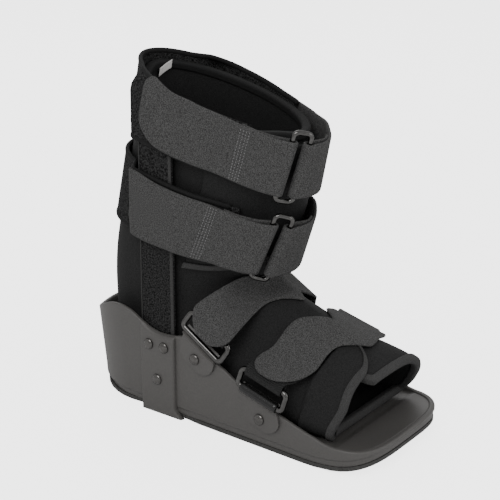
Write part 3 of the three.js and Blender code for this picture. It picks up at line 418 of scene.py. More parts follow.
def make_weave():
    group, enter, leave = new_group(
        "weave", [("Vector", "NodeSocketVector", None), ("Along Pitch", "NodeSocketFloat", 0.0011),
                  ("Across Pitch", "NodeSocketFloat", 0.0011), ("Rib Share", "NodeSocketFloat", 0.5)],
        [("Height", "NodeSocketFloat")])
    parts = group.nodes.new("ShaderNodeSeparateXYZ")
    group.links.new(enter.outputs["Vector"], parts.inputs[0])
    half_turns_u = maths(group, "MULTIPLY", parts.outputs[0], math.pi)
    half_turns_v = maths(group, "MULTIPLY", parts.outputs[1], math.pi)
    turn_u = maths(group, "DIVIDE", half_turns_u, enter.outputs["Along Pitch"])
    turn_v = maths(group, "DIVIDE", half_turns_v, enter.outputs["Across Pitch"])
    rib_u = maths(group, "ABSOLUTE", maths(group, "SINE", turn_u))
    rib_v = maths(group, "ABSOLUTE", maths(group, "SINE", turn_v))
    weighed = maths(group, "MULTIPLY", rib_u, enter.outputs["Rib Share"])
    rest = maths(group, "SUBTRACT", 1.0, enter.outputs["Rib Share"])
    height = maths(group, "MULTIPLY_ADD", rib_v, rest, weighed)
    group.links.new(height, leave.inputs["Height"])
    return group


def make_speckle():
    group, enter, leave = new_group(
        "speckle", [("Vector", "NodeSocketVector", None), ("Scale", "NodeSocketFloat", 1200.0),
                    ("Dark", "NodeSocketColor", None), ("Light", "NodeSocketColor", None),
                    ("Contrast", "NodeSocketFloat", 2.5)],
        [("Color", "NodeSocketColor"), ("Mask", "NodeSocketFloat")])
    value = noise(group, enter.outputs["Vector"], enter.outputs["Scale"], 2.0, 0.65)
    centred = maths(group, "SUBTRACT", value, 0.5)
    mask = maths(group, "MULTIPLY_ADD", centred, enter.outputs["Contrast"], 0.5)
    blend = group.nodes.new("ShaderNodeMix")
    blend.data_type = "RGBA"
    group.links.new(mask, blend.inputs["Factor"])
    group.links.new(enter.outputs["Dark"], blend.inputs["A"])
    group.links.new(enter.outputs["Light"], blend.inputs["B"])
    group.links.new(blend.outputs["Result"], leave.inputs["Color"])
    group.links.new(mask, leave.inputs["Mask"])
    return group


grain_group = make_grain()
weave_group = make_weave()
speckle_group = make_speckle()
print("shader groups:", grain_group.name, weave_group.name, speckle_group.name)

# %% [markdown]
# Every finish is a Principled shader with its own plain numbers. Colour comes from the speckle group, and
# the bump from the grain, or from grain and weave together.
# %% Finishes
def finish(name, dark, light, rough, speckle=1200.0, contrast=2.5, grain=900.0, depth=0.0002,
           weave=None, threads_from="UV", metallic=0.0, specular=0.5, strength=0.6):
    material = bpy.data.materials.new(name)
    material.use_nodes = True
    tree = material.node_tree
    shader = tree.nodes["Principled BSDF"]
    shader.inputs["Roughness"].default_value = rough
    shader.inputs["Metallic"].default_value = metallic
    shader.inputs["Specular IOR Level"].default_value = specular
    coordinates = tree.nodes.new("ShaderNodeTexCoord")

    spots = tree.nodes.new("ShaderNodeGroup")
    spots.node_tree = speckle_group
    spots.inputs["Scale"].default_value = speckle
    spots.inputs["Contrast"].default_value = contrast
    spots.inputs["Dark"].default_value = (*dark, 1)
    spots.inputs["Light"].default_value = (*light, 1)
    tree.links.new(coordinates.outputs["Object"], spots.inputs["Vector"])
    tree.links.new(spots.outputs["Color"], shader.inputs["Base Color"])

    fine = tree.nodes.new("ShaderNodeGroup")
    fine.node_tree = grain_group
    fine.inputs["Scale"].default_value = grain
    tree.links.new(coordinates.outputs["Object"], fine.inputs["Vector"])
    height = fine.outputs["Height"]
    if weave:
        along_pitch, across_pitch, rib_share, weave_share = weave
        threads = tree.nodes.new("ShaderNodeGroup")
        threads.node_tree = weave_group
        threads.inputs["Along Pitch"].default_value = along_pitch
        threads.inputs["Across Pitch"].default_value = across_pitch
        threads.inputs["Rib Share"].default_value = rib_share
        tree.links.new(coordinates.outputs[threads_from], threads.inputs["Vector"])
        height = maths(tree, "MULTIPLY_ADD", threads.outputs["Height"], weave_share, height)
    bump = tree.nodes.new("ShaderNodeBump")
    bump.inputs["Strength"].default_value = strength
    bump.inputs["Distance"].default_value = depth
    tree.links.new(height, bump.inputs["Height"])
    tree.links.new(bump.outputs["Normal"], shader.inputs["Normal"])
    return material


def grey(level, warm=0.0):
    value = (level / 255) ** 2.2
    return (value * (1 + warm), value, value * (1 - warm))


shell_plastic = finish("shell plastic", grey(77, 0.03), grey(89, 0.06), 0.46, speckle=700, contrast=1.2,
                       grain=1600, depth=0.00008, strength=0.5)
sole_rubber = finish("sole rubber", grey(58, 0.02), grey(72, 0.04), 0.75, speckle=500, grain=1200,
                     depth=0.0006, weave=(0.0035, 0.0035, 0.0, 1.2), threads_from="Object")
strap_cloth = finish("strap cloth", grey(52, 0.01), grey(94, 0.01), 0.95, speckle=1500, contrast=3.8,
                     grain=1800, depth=0.0004, weave=(0.0009, 0.0009, 0.5, 0.6), specular=0.2)
pile_cloth = finish("pile cloth", grey(16), grey(66), 0.98, speckle=850, contrast=3.5, grain=1100,
                    depth=0.0007, specular=0.1, strength=0.9)
liner_cloth = finish("liner cloth", grey(26), grey(50), 0.8, speckle=1500, contrast=3.0, grain=2500,
                     depth=0.00012, specular=0.25)
binding_tape = finish("binding tape", grey(56, 0.01), grey(78, 0.01), 0.85, speckle=1500, grain=1800,
                      depth=0.00025, weave=(0.0008, 0.0025, 0.8, 0.9), specular=0.2)
rim_tape = finish("dark rim tape", grey(24), grey(40), 0.8, speckle=1500, grain=1800, depth=0.0002,
                  weave=(0.0008, 0.0025, 0.8, 0.9), specular=0.25)
webbing = finish("ribbed webbing", grey(18), grey(44), 0.8, speckle=1200, grain=1500, depth=0.0006,
                 weave=(0.0016, 0.0012, 0.85, 1.6), strength=0.9)
gloss_plastic = finish("glossy plastic", grey(26, 0.01), grey(38, 0.01), 0.2, speckle=900, grain=900,
                       depth=0.0002, strength=0.5)
ring_metal = finish("ring metal", (0.10, 0.098, 0.095), (0.14, 0.137, 0.134), 0.16, speckle=300, grain=600,
                    depth=0.00003, metallic=1.0, strength=0.2)
rivet_metal = finish("rivet metal", (0.11, 0.105, 0.10), (0.15, 0.145, 0.14), 0.22, speckle=500, grain=900,
                     depth=0.00003, metallic=0.9, strength=0.2)
label_cloth = finish("label cloth", (0.72, 0.70, 0.68), (0.84, 0.82, 0.80), 0.6, speckle=900, grain=1500,
                     depth=0.0001)
thread = finish("stitch thread", grey(105), grey(140), 0.7, speckle=2500, grain=2500, depth=0.0001)
floor_paint = finish("pale floor", (0.86, 0.86, 0.86), (0.9, 0.9, 0.9), 0.9, speckle=20, contrast=0.5,
                     grain=40, depth=0.00005, strength=0.1)
floor_tree = floor_paint.node_tree
floor_rays = floor_tree.nodes.new("ShaderNodeLightPath")
floor_glow = maths(floor_tree, "MULTIPLY", floor_rays.outputs["Is Camera Ray"], 3.0)
floor_shader = floor_tree.nodes["Principled BSDF"]
floor_shader.inputs["Emission Color"].default_value = (1.0, 1.0, 1.0, 1.0)
floor_tree.links.new(floor_glow, floor_shader.inputs["Emission Strength"])
floor.data.materials.append(floor_paint)
print("finishes:", len(bpy.data.materials))

# %% [markdown]
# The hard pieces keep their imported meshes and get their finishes.
# %% Hard pieces
hard = {"outsole": sole_rubber}
for side in ("right", "left"):
    hard[f"instep_chafe_{side}"] = shell_plastic
    hard[f"forefoot_chafe_{side}"] = shell_plastic
    for i in range(1, 6):
        hard[f"rivet_{side}_{i}"] = rivet_metal


def dress(node, material):
    piece = bpy.data.objects[node] if isinstance(node, str) else node
    piece.data.materials.clear()
    piece.data.materials.append(material)


for node, material in hard.items():
    dress(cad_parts[node], material)
print("dressed:", len(hard))

# %% [markdown]
# The shell is a moulded tray with a heel cup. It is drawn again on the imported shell's footprint with many
# more points, so that the round heel has no facets: one ring of points after another, up the outside, over
# the rounded rim and down the inside, with a floor between.
# %% The shell's footprint
SOLE_BAND = 4.0
FLOOR = 17.0
TOE_SQUARE = 3.7
HEEL_END = 0.962 * HALF
TOE_LIFT = 8.2
HEEL_LIFT = 1.2
HEEL_FLARE = 5.5
HEEL_TUCK = 1.4
turn_heel = np.radians(np.linspace(0, 90, 40))
heel_points = np.stack([HEEL_HALF * np.sin(turn_heel),
                        HEEL_CENTRE + (HEEL_END - HEEL_CENTRE) * np.cos(turn_heel)], axis=1)
run = np.linspace(0, 1, 90)[1:]
side_points = np.stack([mix(HEEL_HALF, HALF_WIDTH, run), mix(HEEL_CENTRE, TOE_CENTRE, run)], axis=1)
turn_toe = np.radians(90 * np.linspace(0, 1, 70)[1:])
toe_across = HALF_WIDTH * np.clip(np.cos(turn_toe), 0, 1) ** (2 / TOE_SQUARE)
toe_forward = TOE_CENTRE - (HALF + TOE_CENTRE) * np.sin(turn_toe) ** (2 / TOE_SQUARE)
toe_points = np.stack([toe_across, toe_forward], axis=1)
outline = np.concatenate([heel_points, side_points, toe_points])
way = unit(np.gradient(outline, axis=0))
out_way = np.stack([-way[:, 1], way[:, 0]], axis=1)
out_way[0] = (0, 1)
out_way[-1] = (0, -1)
WALL_TOP = np.array([
    (1.0, 0.73), (0.92, 0.755), (0.83, 0.83), (0.74, 0.92), (0.66, 0.985), (0.59, 1.0), (0.52, 0.965),
    (0.46, 0.895), (0.40, 0.835), (0.33, 0.805), (0.25, 0.812), (0.155, 0.84), (0.05, 0.765), (-0.07, 0.672),
    (-0.20, 0.552), (-0.36, 0.445), (-0.52, 0.36), (-0.68, 0.288), (-0.77, 0.25), (-0.85, 0.245),
    (-1.0, 0.234)])


def top_edge(y):
    at = np.interp(-np.asarray(y, float) / HALF, -WALL_TOP[:, 0], np.arange(len(WALL_TOP)))
    return CUP * along(WALL_TOP[:, 1], at)


def rocker(y):
    toe = np.clip((-0.607 * HALF - y) / (0.393 * HALF), 0, 1)
    heel = np.clip((y - 0.5 * HALF) / (0.5 * HALF), 0, 1)
    return TOE_LIFT * toe**2 + HEEL_LIFT * heel**2


def flare(y, z):
    return HEEL_FLARE * smooth(0.25 * HALF, 0.62 * HALF, y) * np.clip((z - FLOOR) / (CUP - FLOOR), 0, 1)


def tuck(y, z):
    return HEEL_TUCK * smooth(0.25 * HALF, 0.62 * HALF, y) * np.clip((FLOOR - z) / FLOOR, 0, 1) ** 1.5


def foot_ring(grow, height):
    x = outline[:, 0] + out_way[:, 0] * grow
    y = outline[:, 1] + out_way[:, 1] * grow
    half_ring = np.stack([x, y, height], axis=1)
    other_half = half_ring[1:-1][::-1] * np.array([-1, 1, 1])
    return np.concatenate([half_ring, other_half])


print("footprint points:", len(outline) * 2 - 2)

# %% [markdown]
# The wall starts in a step over the sole, which shows as a line all round. The rim is rounded, and at the
# toe it widens to a flat lip with the toe plate just under it.
# %% The shell's wall and floor
TOE_LIP = 4.0
TOE_PLATE = 1.5
STEP_HEIGHT = 5.5
STEP_ROUND = 0.6
RIM_ROUND = 1.3
y = outline[:, 1]
top = top_edge(y)
low = rocker(y) + SOLE_BAND
rim_width = mix(SHELL_WALL, TOE_LIP, smooth(-0.72 * HALF, -0.86 * HALF, y))
floor_height = FLOOR + TOE_PLATE * smooth(-0.755 * HALF, -0.81 * HALF, y)
lean_out = flare(y, top)
step_in = mix(0.9, 2.4, smooth(0.55 * HALF, 0.8 * HALF, y))
shell_rings = [foot_ring(-step_in - 0.3 - tuck(y, low), low)]
for share in np.linspace(0, 1, 4):
    z = low + 0.3 + 4.4 * share
    shell_rings.append(foot_ring(-step_in - tuck(y, z), z))
for angle in np.radians((90, 45, 0)):
    z = low + STEP_HEIGHT - STEP_ROUND * math.sin(angle)
    shell_rings.append(foot_ring(-STEP_ROUND * (1 - math.cos(angle)) - tuck(y, z), z))
for share in np.linspace(0, 1, 26):
    z = mix(low + STEP_HEIGHT + 0.3, top - RIM_ROUND, share)
    shell_rings.append(foot_ring(flare(y, z) - tuck(y, z), z))
for angle in np.radians(np.linspace(15, 90, 6)):
    inset = RIM_ROUND * (1 - math.cos(angle))
    shell_rings.append(foot_ring(lean_out - inset, top - RIM_ROUND * (1 - math.sin(angle))))
for angle in np.radians(np.linspace(90, 15, 6)):
    inset = RIM_ROUND * (1 - math.cos(angle))
    shell_rings.append(foot_ring(lean_out - rim_width + inset, top - RIM_ROUND * (1 - math.sin(angle))))
for share in np.linspace(1, 0, 14):
    z = mix(np.minimum(floor_height + 1.2, top - 1.4), top - RIM_ROUND, share)
    shell_rings.append(foot_ring(flare(y, z) - rim_width, z))
shell_rings.append(foot_ring(-rim_width - 0.4, floor_height + 0.4))
shell_rings.append(foot_ring(-rim_width - 1.2, floor_height))
rings = np.array(shell_rings)
count = rings.shape[1]
points = rings.reshape(-1, 3)
faces = grid_faces(len(rings), count, closed=True)
side_count = len(outline)
for base in (0, (len(rings) - 1) * count):
    for i in range(1, side_count - 2):
        a, b = base + i, base + i + 1
        faces.append((a, b, base + count - b + base, base + count - a + base))
    faces.append((base, base + 1, base + count - 1))
    faces.append((base + side_count - 1, base + side_count, base + side_count - 2))
shell_piece = mesh_piece("moulded_shell", points, faces)
place(shell_piece, ["base_shell"], "shell_plastic", shell_plastic)
print("shell faces:", len(shell_piece.data.polygons))

# %% [markdown]
# A raised pad covers each upright's foot and spreads forward at the ground. It is a skin on the wall, with
# rounded edges that run into it.
# %% Pillars
PILLAR_WIDTH = 33.4
PILLAR_PROUD = 2.8
PILLAR_FOOT = 7.0
PILLAR_FOOT_HEIGHT = 8.0
PAD_ROWS = 40
PAD_COLUMNS = 31
PAD_COUNT = PAD_ROWS * PAD_COLUMNS
PAD_ROUND = 1.5
PAD_ROOT = 0.8
for side, side_name in ((-1, "right"), (1, "left")):
    heights = np.linspace(0, 1, PAD_ROWS)[:, None]
    t = (across_columns(PAD_COLUMNS) / 2 + 0.5)[None, :]
    guess = PILLAR_Y + PILLAR_WIDTH * (0.5 - t)
    z = mix(0.15, top_edge(guess) - 0.3, heights)
    foot = np.clip(1 - z / PILLAR_FOOT_HEIGHT, 0, 1) ** 2
    y_at = mix(PILLAR_Y + PILLAR_WIDTH / 2, PILLAR_Y - PILLAR_WIDTH / 2 - PILLAR_FOOT * foot, t)
    edge = round_share(np.minimum(t, 1 - t) * PILLAR_WIDTH, PAD_ROUND)
    edge = edge * round_share((1 - heights) * 50, PAD_ROUND)
    wall = wall_half(y_at) + flare(y_at, z) - PAD_ROOT
    face = float(wall_half(PILLAR_Y)) + PILLAR_PROUD + flare(PILLAR_Y, CUP / 2)
    grid = np.stack([side * mix(wall, face, edge), y_at, z], axis=-1)
    back = np.stack([side * (wall - 0.5), y_at, z], axis=-1)
    pad_points = np.concatenate([grid.reshape(-1, 3), back.reshape(-1, 3)])
    pad_faces = grid_faces(PAD_ROWS, PAD_COLUMNS)
    pad_faces += [face_ids[::-1] for face_ids in grid_faces(PAD_ROWS, PAD_COLUMNS, PAD_COUNT)]
    edge_ids = [*range(PAD_COLUMNS), *range(2 * PAD_COLUMNS - 1, PAD_COUNT, PAD_COLUMNS)]
    edge_ids += [*range(PAD_COUNT - 2, PAD_COUNT - PAD_COLUMNS - 1, -1)]
    edge_ids += [*range(PAD_COUNT - 2 * PAD_COLUMNS, 0, -PAD_COLUMNS)]
    for a, b in zip(edge_ids, edge_ids[1:] + edge_ids[:1]):
        pad_faces.append((b, a, a + PAD_COUNT, b + PAD_COUNT))
    pad = mesh_piece(f"upright_pad_{side_name}", pad_points, pad_faces)
    place(pad, [], "shell_plastic", shell_plastic)
print("pillars made")

# %% [markdown]
# The liner is a padded tube with its outer and inner cloth. Its toe end is cut back under the near flap.
# %% The liner
toe_edge = {"turn": np.array([218, 195, 175, 155, 135, 118, 108, 101, 97], float),
            "row": np.array([0.0, 0.15, 0.31, 0.38, 0.40, 0.44, 0.72, 1.25, 1.85])}


def toe_flap_front(turn):
    at = np.interp(-np.asarray(turn, float), -toe_edge["turn"], np.arange(9))
    return along(toe_edge["row"], at)


def toe_row(turn):
    turn = np.asarray(turn, float)
    wrapped = np.where(turn < 0, turn + 360, turn)
    return (toe_flap_front(wrapped) + 0.35) * smooth(108, 138, wrapped) * smooth(226, 212, wrapped)


LINER_WALL = 4.0


def liner_ring(t, out):
    turn = np.linspace(0, 360, 145)[:-1]
    return offset(liner_form, mix(toe_row(turn), rim_at(turn), t), turn, np.full(turn.shape, out))


levels = np.linspace(0, 1, 110)
liner_rings = [liner_ring(t, 0) for t in levels] + [liner_ring(t, -LINER_WALL) for t in levels[::-1]]
liner_piece = tube("liner_cloth", liner_rings, closed=True)
place(liner_piece, ["liner"], "liner_fabric", liner_cloth)
print("liner faces:", len(liner_piece.data.polygons))

# %% [markdown]
# The calf flap lies over the shin, and the toe flap folds over the toes from the right side. Both are thin
# padded walls on the liner's curves, a little off it.
# %% Flaps
TOE_FLAP_WALL = 3.0
CALF_FLAP_WALL = 2.4
TOE_FLAP_OUT = GAP + TOE_FLAP_WALL / 2
CALF_FLAP_OUT = GAP + 0.25 + CALF_FLAP_WALL / 2


def calf_hem(turn):
    return 10.15 + 1.08 * smooth(152, 118, turn)


def foot_strap_row(strap, s, turn):
    rise = np.clip(1 - np.abs(np.asarray(turn, float) - 90) / 78, 0, 1)

    def ease(side, middle, top):
        low = mix(side, middle, smooth(0, 0.5, rise))
        return np.where(rise < 0.5, low, mix(middle, top, smooth(0.5, 1, rise)))
    far = np.asarray(turn) < 90
    side, middle, top = strap["front"]
    front = ease(side, np.where(far, strap["far_front"], middle), top)
    side, middle, top = strap["back"]
    back = ease(side, np.where(far, strap["far_back"], middle), top)
    return mix(back, front, (s + 1) / 2)


instep_belt = {"name": "instep", "first": 126, "last": 47, "back": (8, 9, 6.8), "front": (4.3, 4.2, 3.0),
               "far_front": 4.2, "far_back": 8.4, "ends": [5.5, 14, 23], "far_ends": [5.5, 14, 19.5],
               "over": 3.0, "flap": 0, "side": 4.0, "far": 2.0}
forefoot_belt = {"name": "forefoot", "first": 150, "last": 30, "back": (3, 2.85, 2.15),
                 "front": (1.7, 1.6, 1.0), "far_front": 1.2, "far_back": 2.75, "ends": [20],
                 "far_ends": [20], "over": 2.9, "flap": 3.2, "side": 2.6, "far": 3.0}

turn_grid = np.linspace(218, 98, 80)[:, None]
share_grid = across_columns(24)[None, :] / 2 + 0.5
back_row = foot_strap_row(forefoot_belt, 1, turn_grid) + 0.5 * smooth(125, 108, turn_grid)
rows = mix(toe_flap_front(turn_grid), back_row, share_grid)
toe_flap_grid = offset(liner_form, rows, turn_grid, np.full(rows.shape, TOE_FLAP_OUT))
toe_flap = strip("toe_flap_cloth", toe_flap_grid, TOE_FLAP_WALL)
place(toe_flap, ["toe_flap"], "liner_fabric", liner_cloth)

turn_grid = np.linspace(166, 62, 80)[:, None]
share_grid = np.linspace(0, 1, 60)[None, :] ** 1.3
rows = mix(calf_hem(turn_grid), rim_at(turn_grid) - 0.42, share_grid)
calf_flap_grid = offset(liner_form, rows, turn_grid, np.full(rows.shape, CALF_FLAP_OUT))
calf_flap = strip("calf_flap_cloth", calf_flap_grid, CALF_FLAP_WALL)
place(calf_flap, ["calf_flap"], "liner_fabric", liner_cloth)
print("flap faces:", len(toe_flap.data.polygons), len(calf_flap.data.polygons))

# %% [markdown]
# Raw cloth edges are bound with a folded tape. The tape is swept along the edge as a channel: its outer
# side is a little pillowed and has a groove near the edge, as a tape sewn down along its middle has.
# %% Edge bindings
TAPE = 0.7
LEG = 5.0
TAPE_GAP = 0.45


def edge_points(edge_row, turn, sign, lift, profile):
    """One ring of points for each turn, from a profile of (across the wall, beyond the edge)."""
    turn = np.asarray(turn, float)
    base = edge_row(turn) if callable(edge_row) else np.full(turn.shape, float(edge_row))
    ahead = surface(liner_form, base + sign * 0.05, turn)
    here = surface(liner_form, base, turn)
    tangent = unit(ahead - here)
    row_length = np.linalg.norm(surface(liner_form, base - sign * 0.3, turn) - here, axis=-1) / 0.3
    rings = []
    for across, beyond in profile:
        row = base + sign * min(beyond, 0) / row_length
        point = offset(liner_form, row, turn, np.full(turn.shape, lift + across))
        rings.append(point + tangent * max(beyond, 0))
    return np.stack(rings, axis=1)


def tape_profile(wall, both):
    inner = wall / 2 + TAPE_GAP
    outer = inner + TAPE
    pillow = outer + 0.35
    groove = outer + 0.1
    face = [(inner + 0.15, -LEG), (groove, -LEG + 0.5), (pillow, -LEG * 0.72), (groove, -LEG * 0.5),
            (pillow, -LEG * 0.25), (groove, 0.0), (outer * 0.72, GAP + TAPE * 0.75),
            (outer * 0.35, GAP + TAPE * 0.95)]
    back = [(0.0, GAP + TAPE)]
    if both:
        back += [(-a, b) for a, b in face[::-1]]
        back += [(-inner, -LEG + 0.3), (-inner, -LEG / 2), (-inner, GAP * 0.5)]
    else:
        back += [(-wall / 2 * 0.7, GAP + TAPE * 0.8), (-wall / 2, GAP * 0.9), (-wall / 2 + 0.1, GAP * 0.6)]
    return face + back + [(0.0, GAP), (inner, GAP * 0.5), (inner, -LEG / 2), (inner, -LEG + 0.3)]


def binding(name, node, edge_row, turn, sign, lift, wall, both, closed=False, tape=binding_tape):
    rings = edge_points(edge_row, turn, sign, lift, tape_profile(wall, both))
    piece = tube(name, rings, closed)
    return place(piece, [node], "binding_tape", tape)


around = np.linspace(270, 630, 181)[:-1]
binding("rim_tape", "rim_binding", lambda turn: rim_at(turn % 360), around, 1, -LINER_WALL / 2,
        LINER_WALL, True, closed=True, tape=rim_tape)
binding("toe_tape", "toe_binding", toe_row, np.linspace(-130, 166, 150), -1, -LINER_WALL / 2,
        LINER_WALL, True)
binding("toe_flap_tape", "toe_flap_binding", toe_flap_front, np.linspace(218, 99, 80), -1, TOE_FLAP_OUT,
        TOE_FLAP_WALL, False)
binding("calf_flap_tape", "calf_flap_binding", calf_hem, np.linspace(166, 62, 60), -1, CALF_FLAP_OUT,
        CALF_FLAP_WALL, False)
print("edges bound: 4")

# %% [markdown]
# The label is a small blank satin tab sewn inside the back of the rim.
# %% Label
LABEL_TURN = 279
LABEL_SPREAD = 8.7
LABEL_THICK = 0.5
turn_grid = np.linspace(LABEL_TURN - LABEL_SPREAD, LABEL_TURN + LABEL_SPREAD, 14)[:, None]
drop = across_columns(9)[None, :] / 2 + 0.5
label_out = -LINER_WALL - 2 * LAYER - GAP - TAPE - LABEL_THICK / 2
slant = (turn_grid - LABEL_TURN) / LABEL_SPREAD
rows = RIM - 0.05 - 6.5 / 17 * drop + 0.2 * slant
label_grid = offset(liner_form, rows, turn_grid, np.full(rows.shape, label_out))
label = strip("blank_label", label_grid, LABEL_THICK)
place(label, ["care_label"], "label_cloth", label_cloth)
print("label made")

# %% [markdown]
# The uprights are flat stays in pile covers. Their long edges are bound with narrow grey tape, which shows
# as a light line on both sides of the dark pile.
# %% Uprights
UPRIGHT_FOOT = 21.0
UPRIGHT_TOP = 236.0
UPRIGHT_Y = 52.2
UPRIGHT_WIDTH = 32.5
UPRIGHT_TOP_WIDTH = 30.5
LEAN = {-1: 1.2, 1: 7.5}


def upright_face(z, side):
    share = (np.asarray(z, float) - UPRIGHT_FOOT) / (UPRIGHT_TOP - UPRIGHT_FOOT)
    lean = np.where(np.asarray(side) < 0, LEAN[-1], LEAN[1])
    return float(wall_half(PILLAR_Y)) - SHELL_WALL - GAP - lean * share


for side, side_name in ((-1, "right"), (1, "left")):
    z = np.linspace(UPRIGHT_FOOT, UPRIGHT_TOP, 90)
    ends = round_share(np.minimum(z - UPRIGHT_FOOT, UPRIGHT_TOP - z) + 1.0, 6.0)
    share = (z - UPRIGHT_FOOT) / (UPRIGHT_TOP - UPRIGHT_FOOT)
    reach = mix(UPRIGHT_WIDTH, UPRIGHT_TOP_WIDTH, share) / 2 * (0.86 + 0.14 * ends)
    s = across_columns(19)
    middle = upright_face(z, side) - UPRIGHT_THICK / 2
    grid = np.stack([side * np.repeat(middle[:, None], 19, 1), UPRIGHT_Y + reach[:, None] * s[None, :],
                     np.repeat(z[:, None], 19, 1)], axis=-1)
    cover = strip(f"upright_cover_{side_name}", grid, UPRIGHT_THICK, edge=2.6)
    place(cover, [f"upright_{side_name}"], "pile_fabric", pile_cloth)
    for edge_name, s_from, s_to in (("front", -1.0, -0.83), ("back", 0.93, 1.0)):
        across = np.linspace(s_from, s_to, 6)
        lift = 0.25 + 0.25 * np.sin(np.linspace(0, np.pi, 6))
        face = upright_face(z, side)[:, None] + lift[None, :] - 0.9 * (across[None, :] ** 8)
        tape_grid = np.stack([side * face, UPRIGHT_Y + reach[:, None] * across[None, :],
                              np.repeat(z[:, None], 6, 1)], axis=-1)
        tape = strip(f"upright_tape_{side_name}_{edge_name}", tape_grid[2:-2], 0.6, edge=0.5)
        place(tape, [], "binding_tape", binding_tape)
print("uprights made")

# %% [markdown]
# The calf straps have their own sections. A pile band goes round the back from side to side; over it the
# grey strap comes from both sides, folds round the ring and closes on itself. The ring stands off the leg
# and draws the strap out with it.
# %% Calf strap places
BAND_THICK = 2.4
STRAP_THICK = 2.2
WIRE = 1.9
RING_SPAN = 13.0
RING_STANDOFF = 12.0
RING_CORNER = 3.5
upper_form = sections([
    (INSTEP, CALF, CALF_HALF, 0.712, 0.735, -0.316, 0.515, 0.975, -0.055, 0, 0, 0.06, 2.4, 1.85),
    (INSTEP, CALF, CALF_HALF, 0.664, 1.07, -0.376, 0.79, 0.98, -0.06, 0, 0, 0.06, 2.05, 1.85)])
lower_form = sections([
    (INSTEP, CALF, CALF_HALF, 0.836, 0.21, -0.212, 0.105, 0.995, -0.035, 0, 0, 0, 2.5, 1.9),
    (INSTEP, CALF, CALF_HALF, 0.758, 0.565, -0.305, 0.37, 0.975, -0.045, 0, 0, 0, 2.45, 1.9)])
calf_belts = [
    {"name": "upper", "form": upper_form, "band": (0, 0.99), "tab": (0.03, 1.02), "end": 206,
     "angle": 113.5, "lean": 4, "dip": 1, "raise": 1.2, "end_lift": 4, "corners": (20, 8)},
    {"name": "lower", "form": lower_form, "band": (0, 1.03), "tab": (0, 1), "end": 208,
     "angle": 117.5, "lean": 4, "dip": 0, "raise": 1.2, "end_lift": 3, "corners": (18, 4)},
]
LOOP = WIRE + 1.5 * GAP + STRAP_THICK / 2
TAB_ABOVE = BAND_THICK / 2 + 4 * GAP + STRAP_THICK / 2


def band_out(turn):
    lift = (CALF_FLAP_OUT + CALF_FLAP_WALL / 2) * smooth(180, 168, turn) * smooth(46, 60, turn)
    return lift + LAYER + BAND_THICK / 2


def strap_point(belt, row, turn, above):
    row, turn, above = np.broadcast_arrays(*(np.asarray(v, float) for v in (row, turn, above)))
    p = offset(belt["form"], row, turn, band_out(turn) + above)
    side = np.sign(p[..., 0])
    near = smooth(0, 0.24 * HALF, p[..., 1]) * smooth(0.575 * HALF, 0.497 * HALF, p[..., 1])
    near = near * smooth(UPRIGHT_TOP + 30, UPRIGHT_TOP + 14, p[..., 2])
    needed = upright_face(p[..., 2], side) + 2 * LAYER + BAND_THICK / 2 + above
    x = np.abs(p[..., 0]) + near * np.maximum(0, needed - np.abs(p[..., 0]))
    return np.stack([side * x, p[..., 1], p[..., 2]], axis=-1)


def ring_pull(belt, turn):
    return smooth(48, 0, np.abs(np.asarray(turn, float) - belt["angle"]))


def tab_point(belt, row, turn, above):
    pull = ring_pull(belt, turn)
    lowered = np.asarray(row, float) - 0.06 * smooth(60, 20, turn)
    p = strap_point(belt, lowered, turn, TAB_ABOVE + RING_STANDOFF * pull + above)
    p[..., 2] += belt["end_lift"] * smooth(185, 206, turn) - belt["dip"] * pull
    return p


def ring_turn(belt, row):
    return belt["angle"] + belt["lean"] * (0.5 - row)


def ring_frame(belt):
    low_row, high_row = belt["tab"]
    low = tab_point(belt, low_row, ring_turn(belt, low_row), -LOOP)
    high = tab_point(belt, high_row, ring_turn(belt, high_row), -LOOP)
    length_way = unit(high - low)
    mid = (low_row + high_row) / 2
    behind = tab_point(belt, mid, ring_turn(belt, mid) + 3, -LOOP)
    forward = tab_point(belt, mid, ring_turn(belt, mid) - 3, -LOOP) - behind
    forward = unit(forward - length_way * np.dot(forward, length_way))
    outward = unit(np.cross(forward, length_way))
    return low, high, length_way, forward, -outward if outward[0] > 0 else outward


ring_low, ring_high = ring_frame(calf_belts[0])[:2]
print("ring 1 height, mm:", round(float(np.linalg.norm(ring_high - ring_low)), 1))

# %% [markdown]
# Bands, tabs and keepers. A band's two long edges are rolled and bound. A tab ends in round corners; where
# it and the keeper meet the ring, each folds round its bar and runs back inside itself.
# %% Calf straps
def end_share(distance, radius, reach):
    return 1 - radius / reach * (1 - np.sqrt(1 - (1 - np.clip(distance / radius, 0, 1)) ** 2))


def looped_line(belt, row, which, end_turn, back_turns):
    low, high, _, forward, outward = ring_frame(belt)
    low_row, high_row = belt["tab"]
    centre = low + (high - low) * (row - low_row) / (high_row - low_row) + forward * which * RING_SPAN / 2
    bar_turn = ring_turn(belt, row) - which * 7
    outer = tab_point(belt, row, np.linspace(end_turn, bar_turn - which * 3, 70), 0)
    angle = np.radians(np.linspace(0, 180, 17))[:, None]
    loop = centre + outward * LOOP * np.cos(angle) - forward * which * LOOP * np.sin(angle)
    turn = np.linspace(bar_turn - which * 5, bar_turn - which * back_turns, 16)
    sink = -mix(2 * LOOP, STRAP_THICK + LAYER, np.clip(np.linspace(0.25, 1.5, 16), 0, 1))
    inner = tab_point(belt, row, turn, sink)
    return np.concatenate([outer, loop, inner])


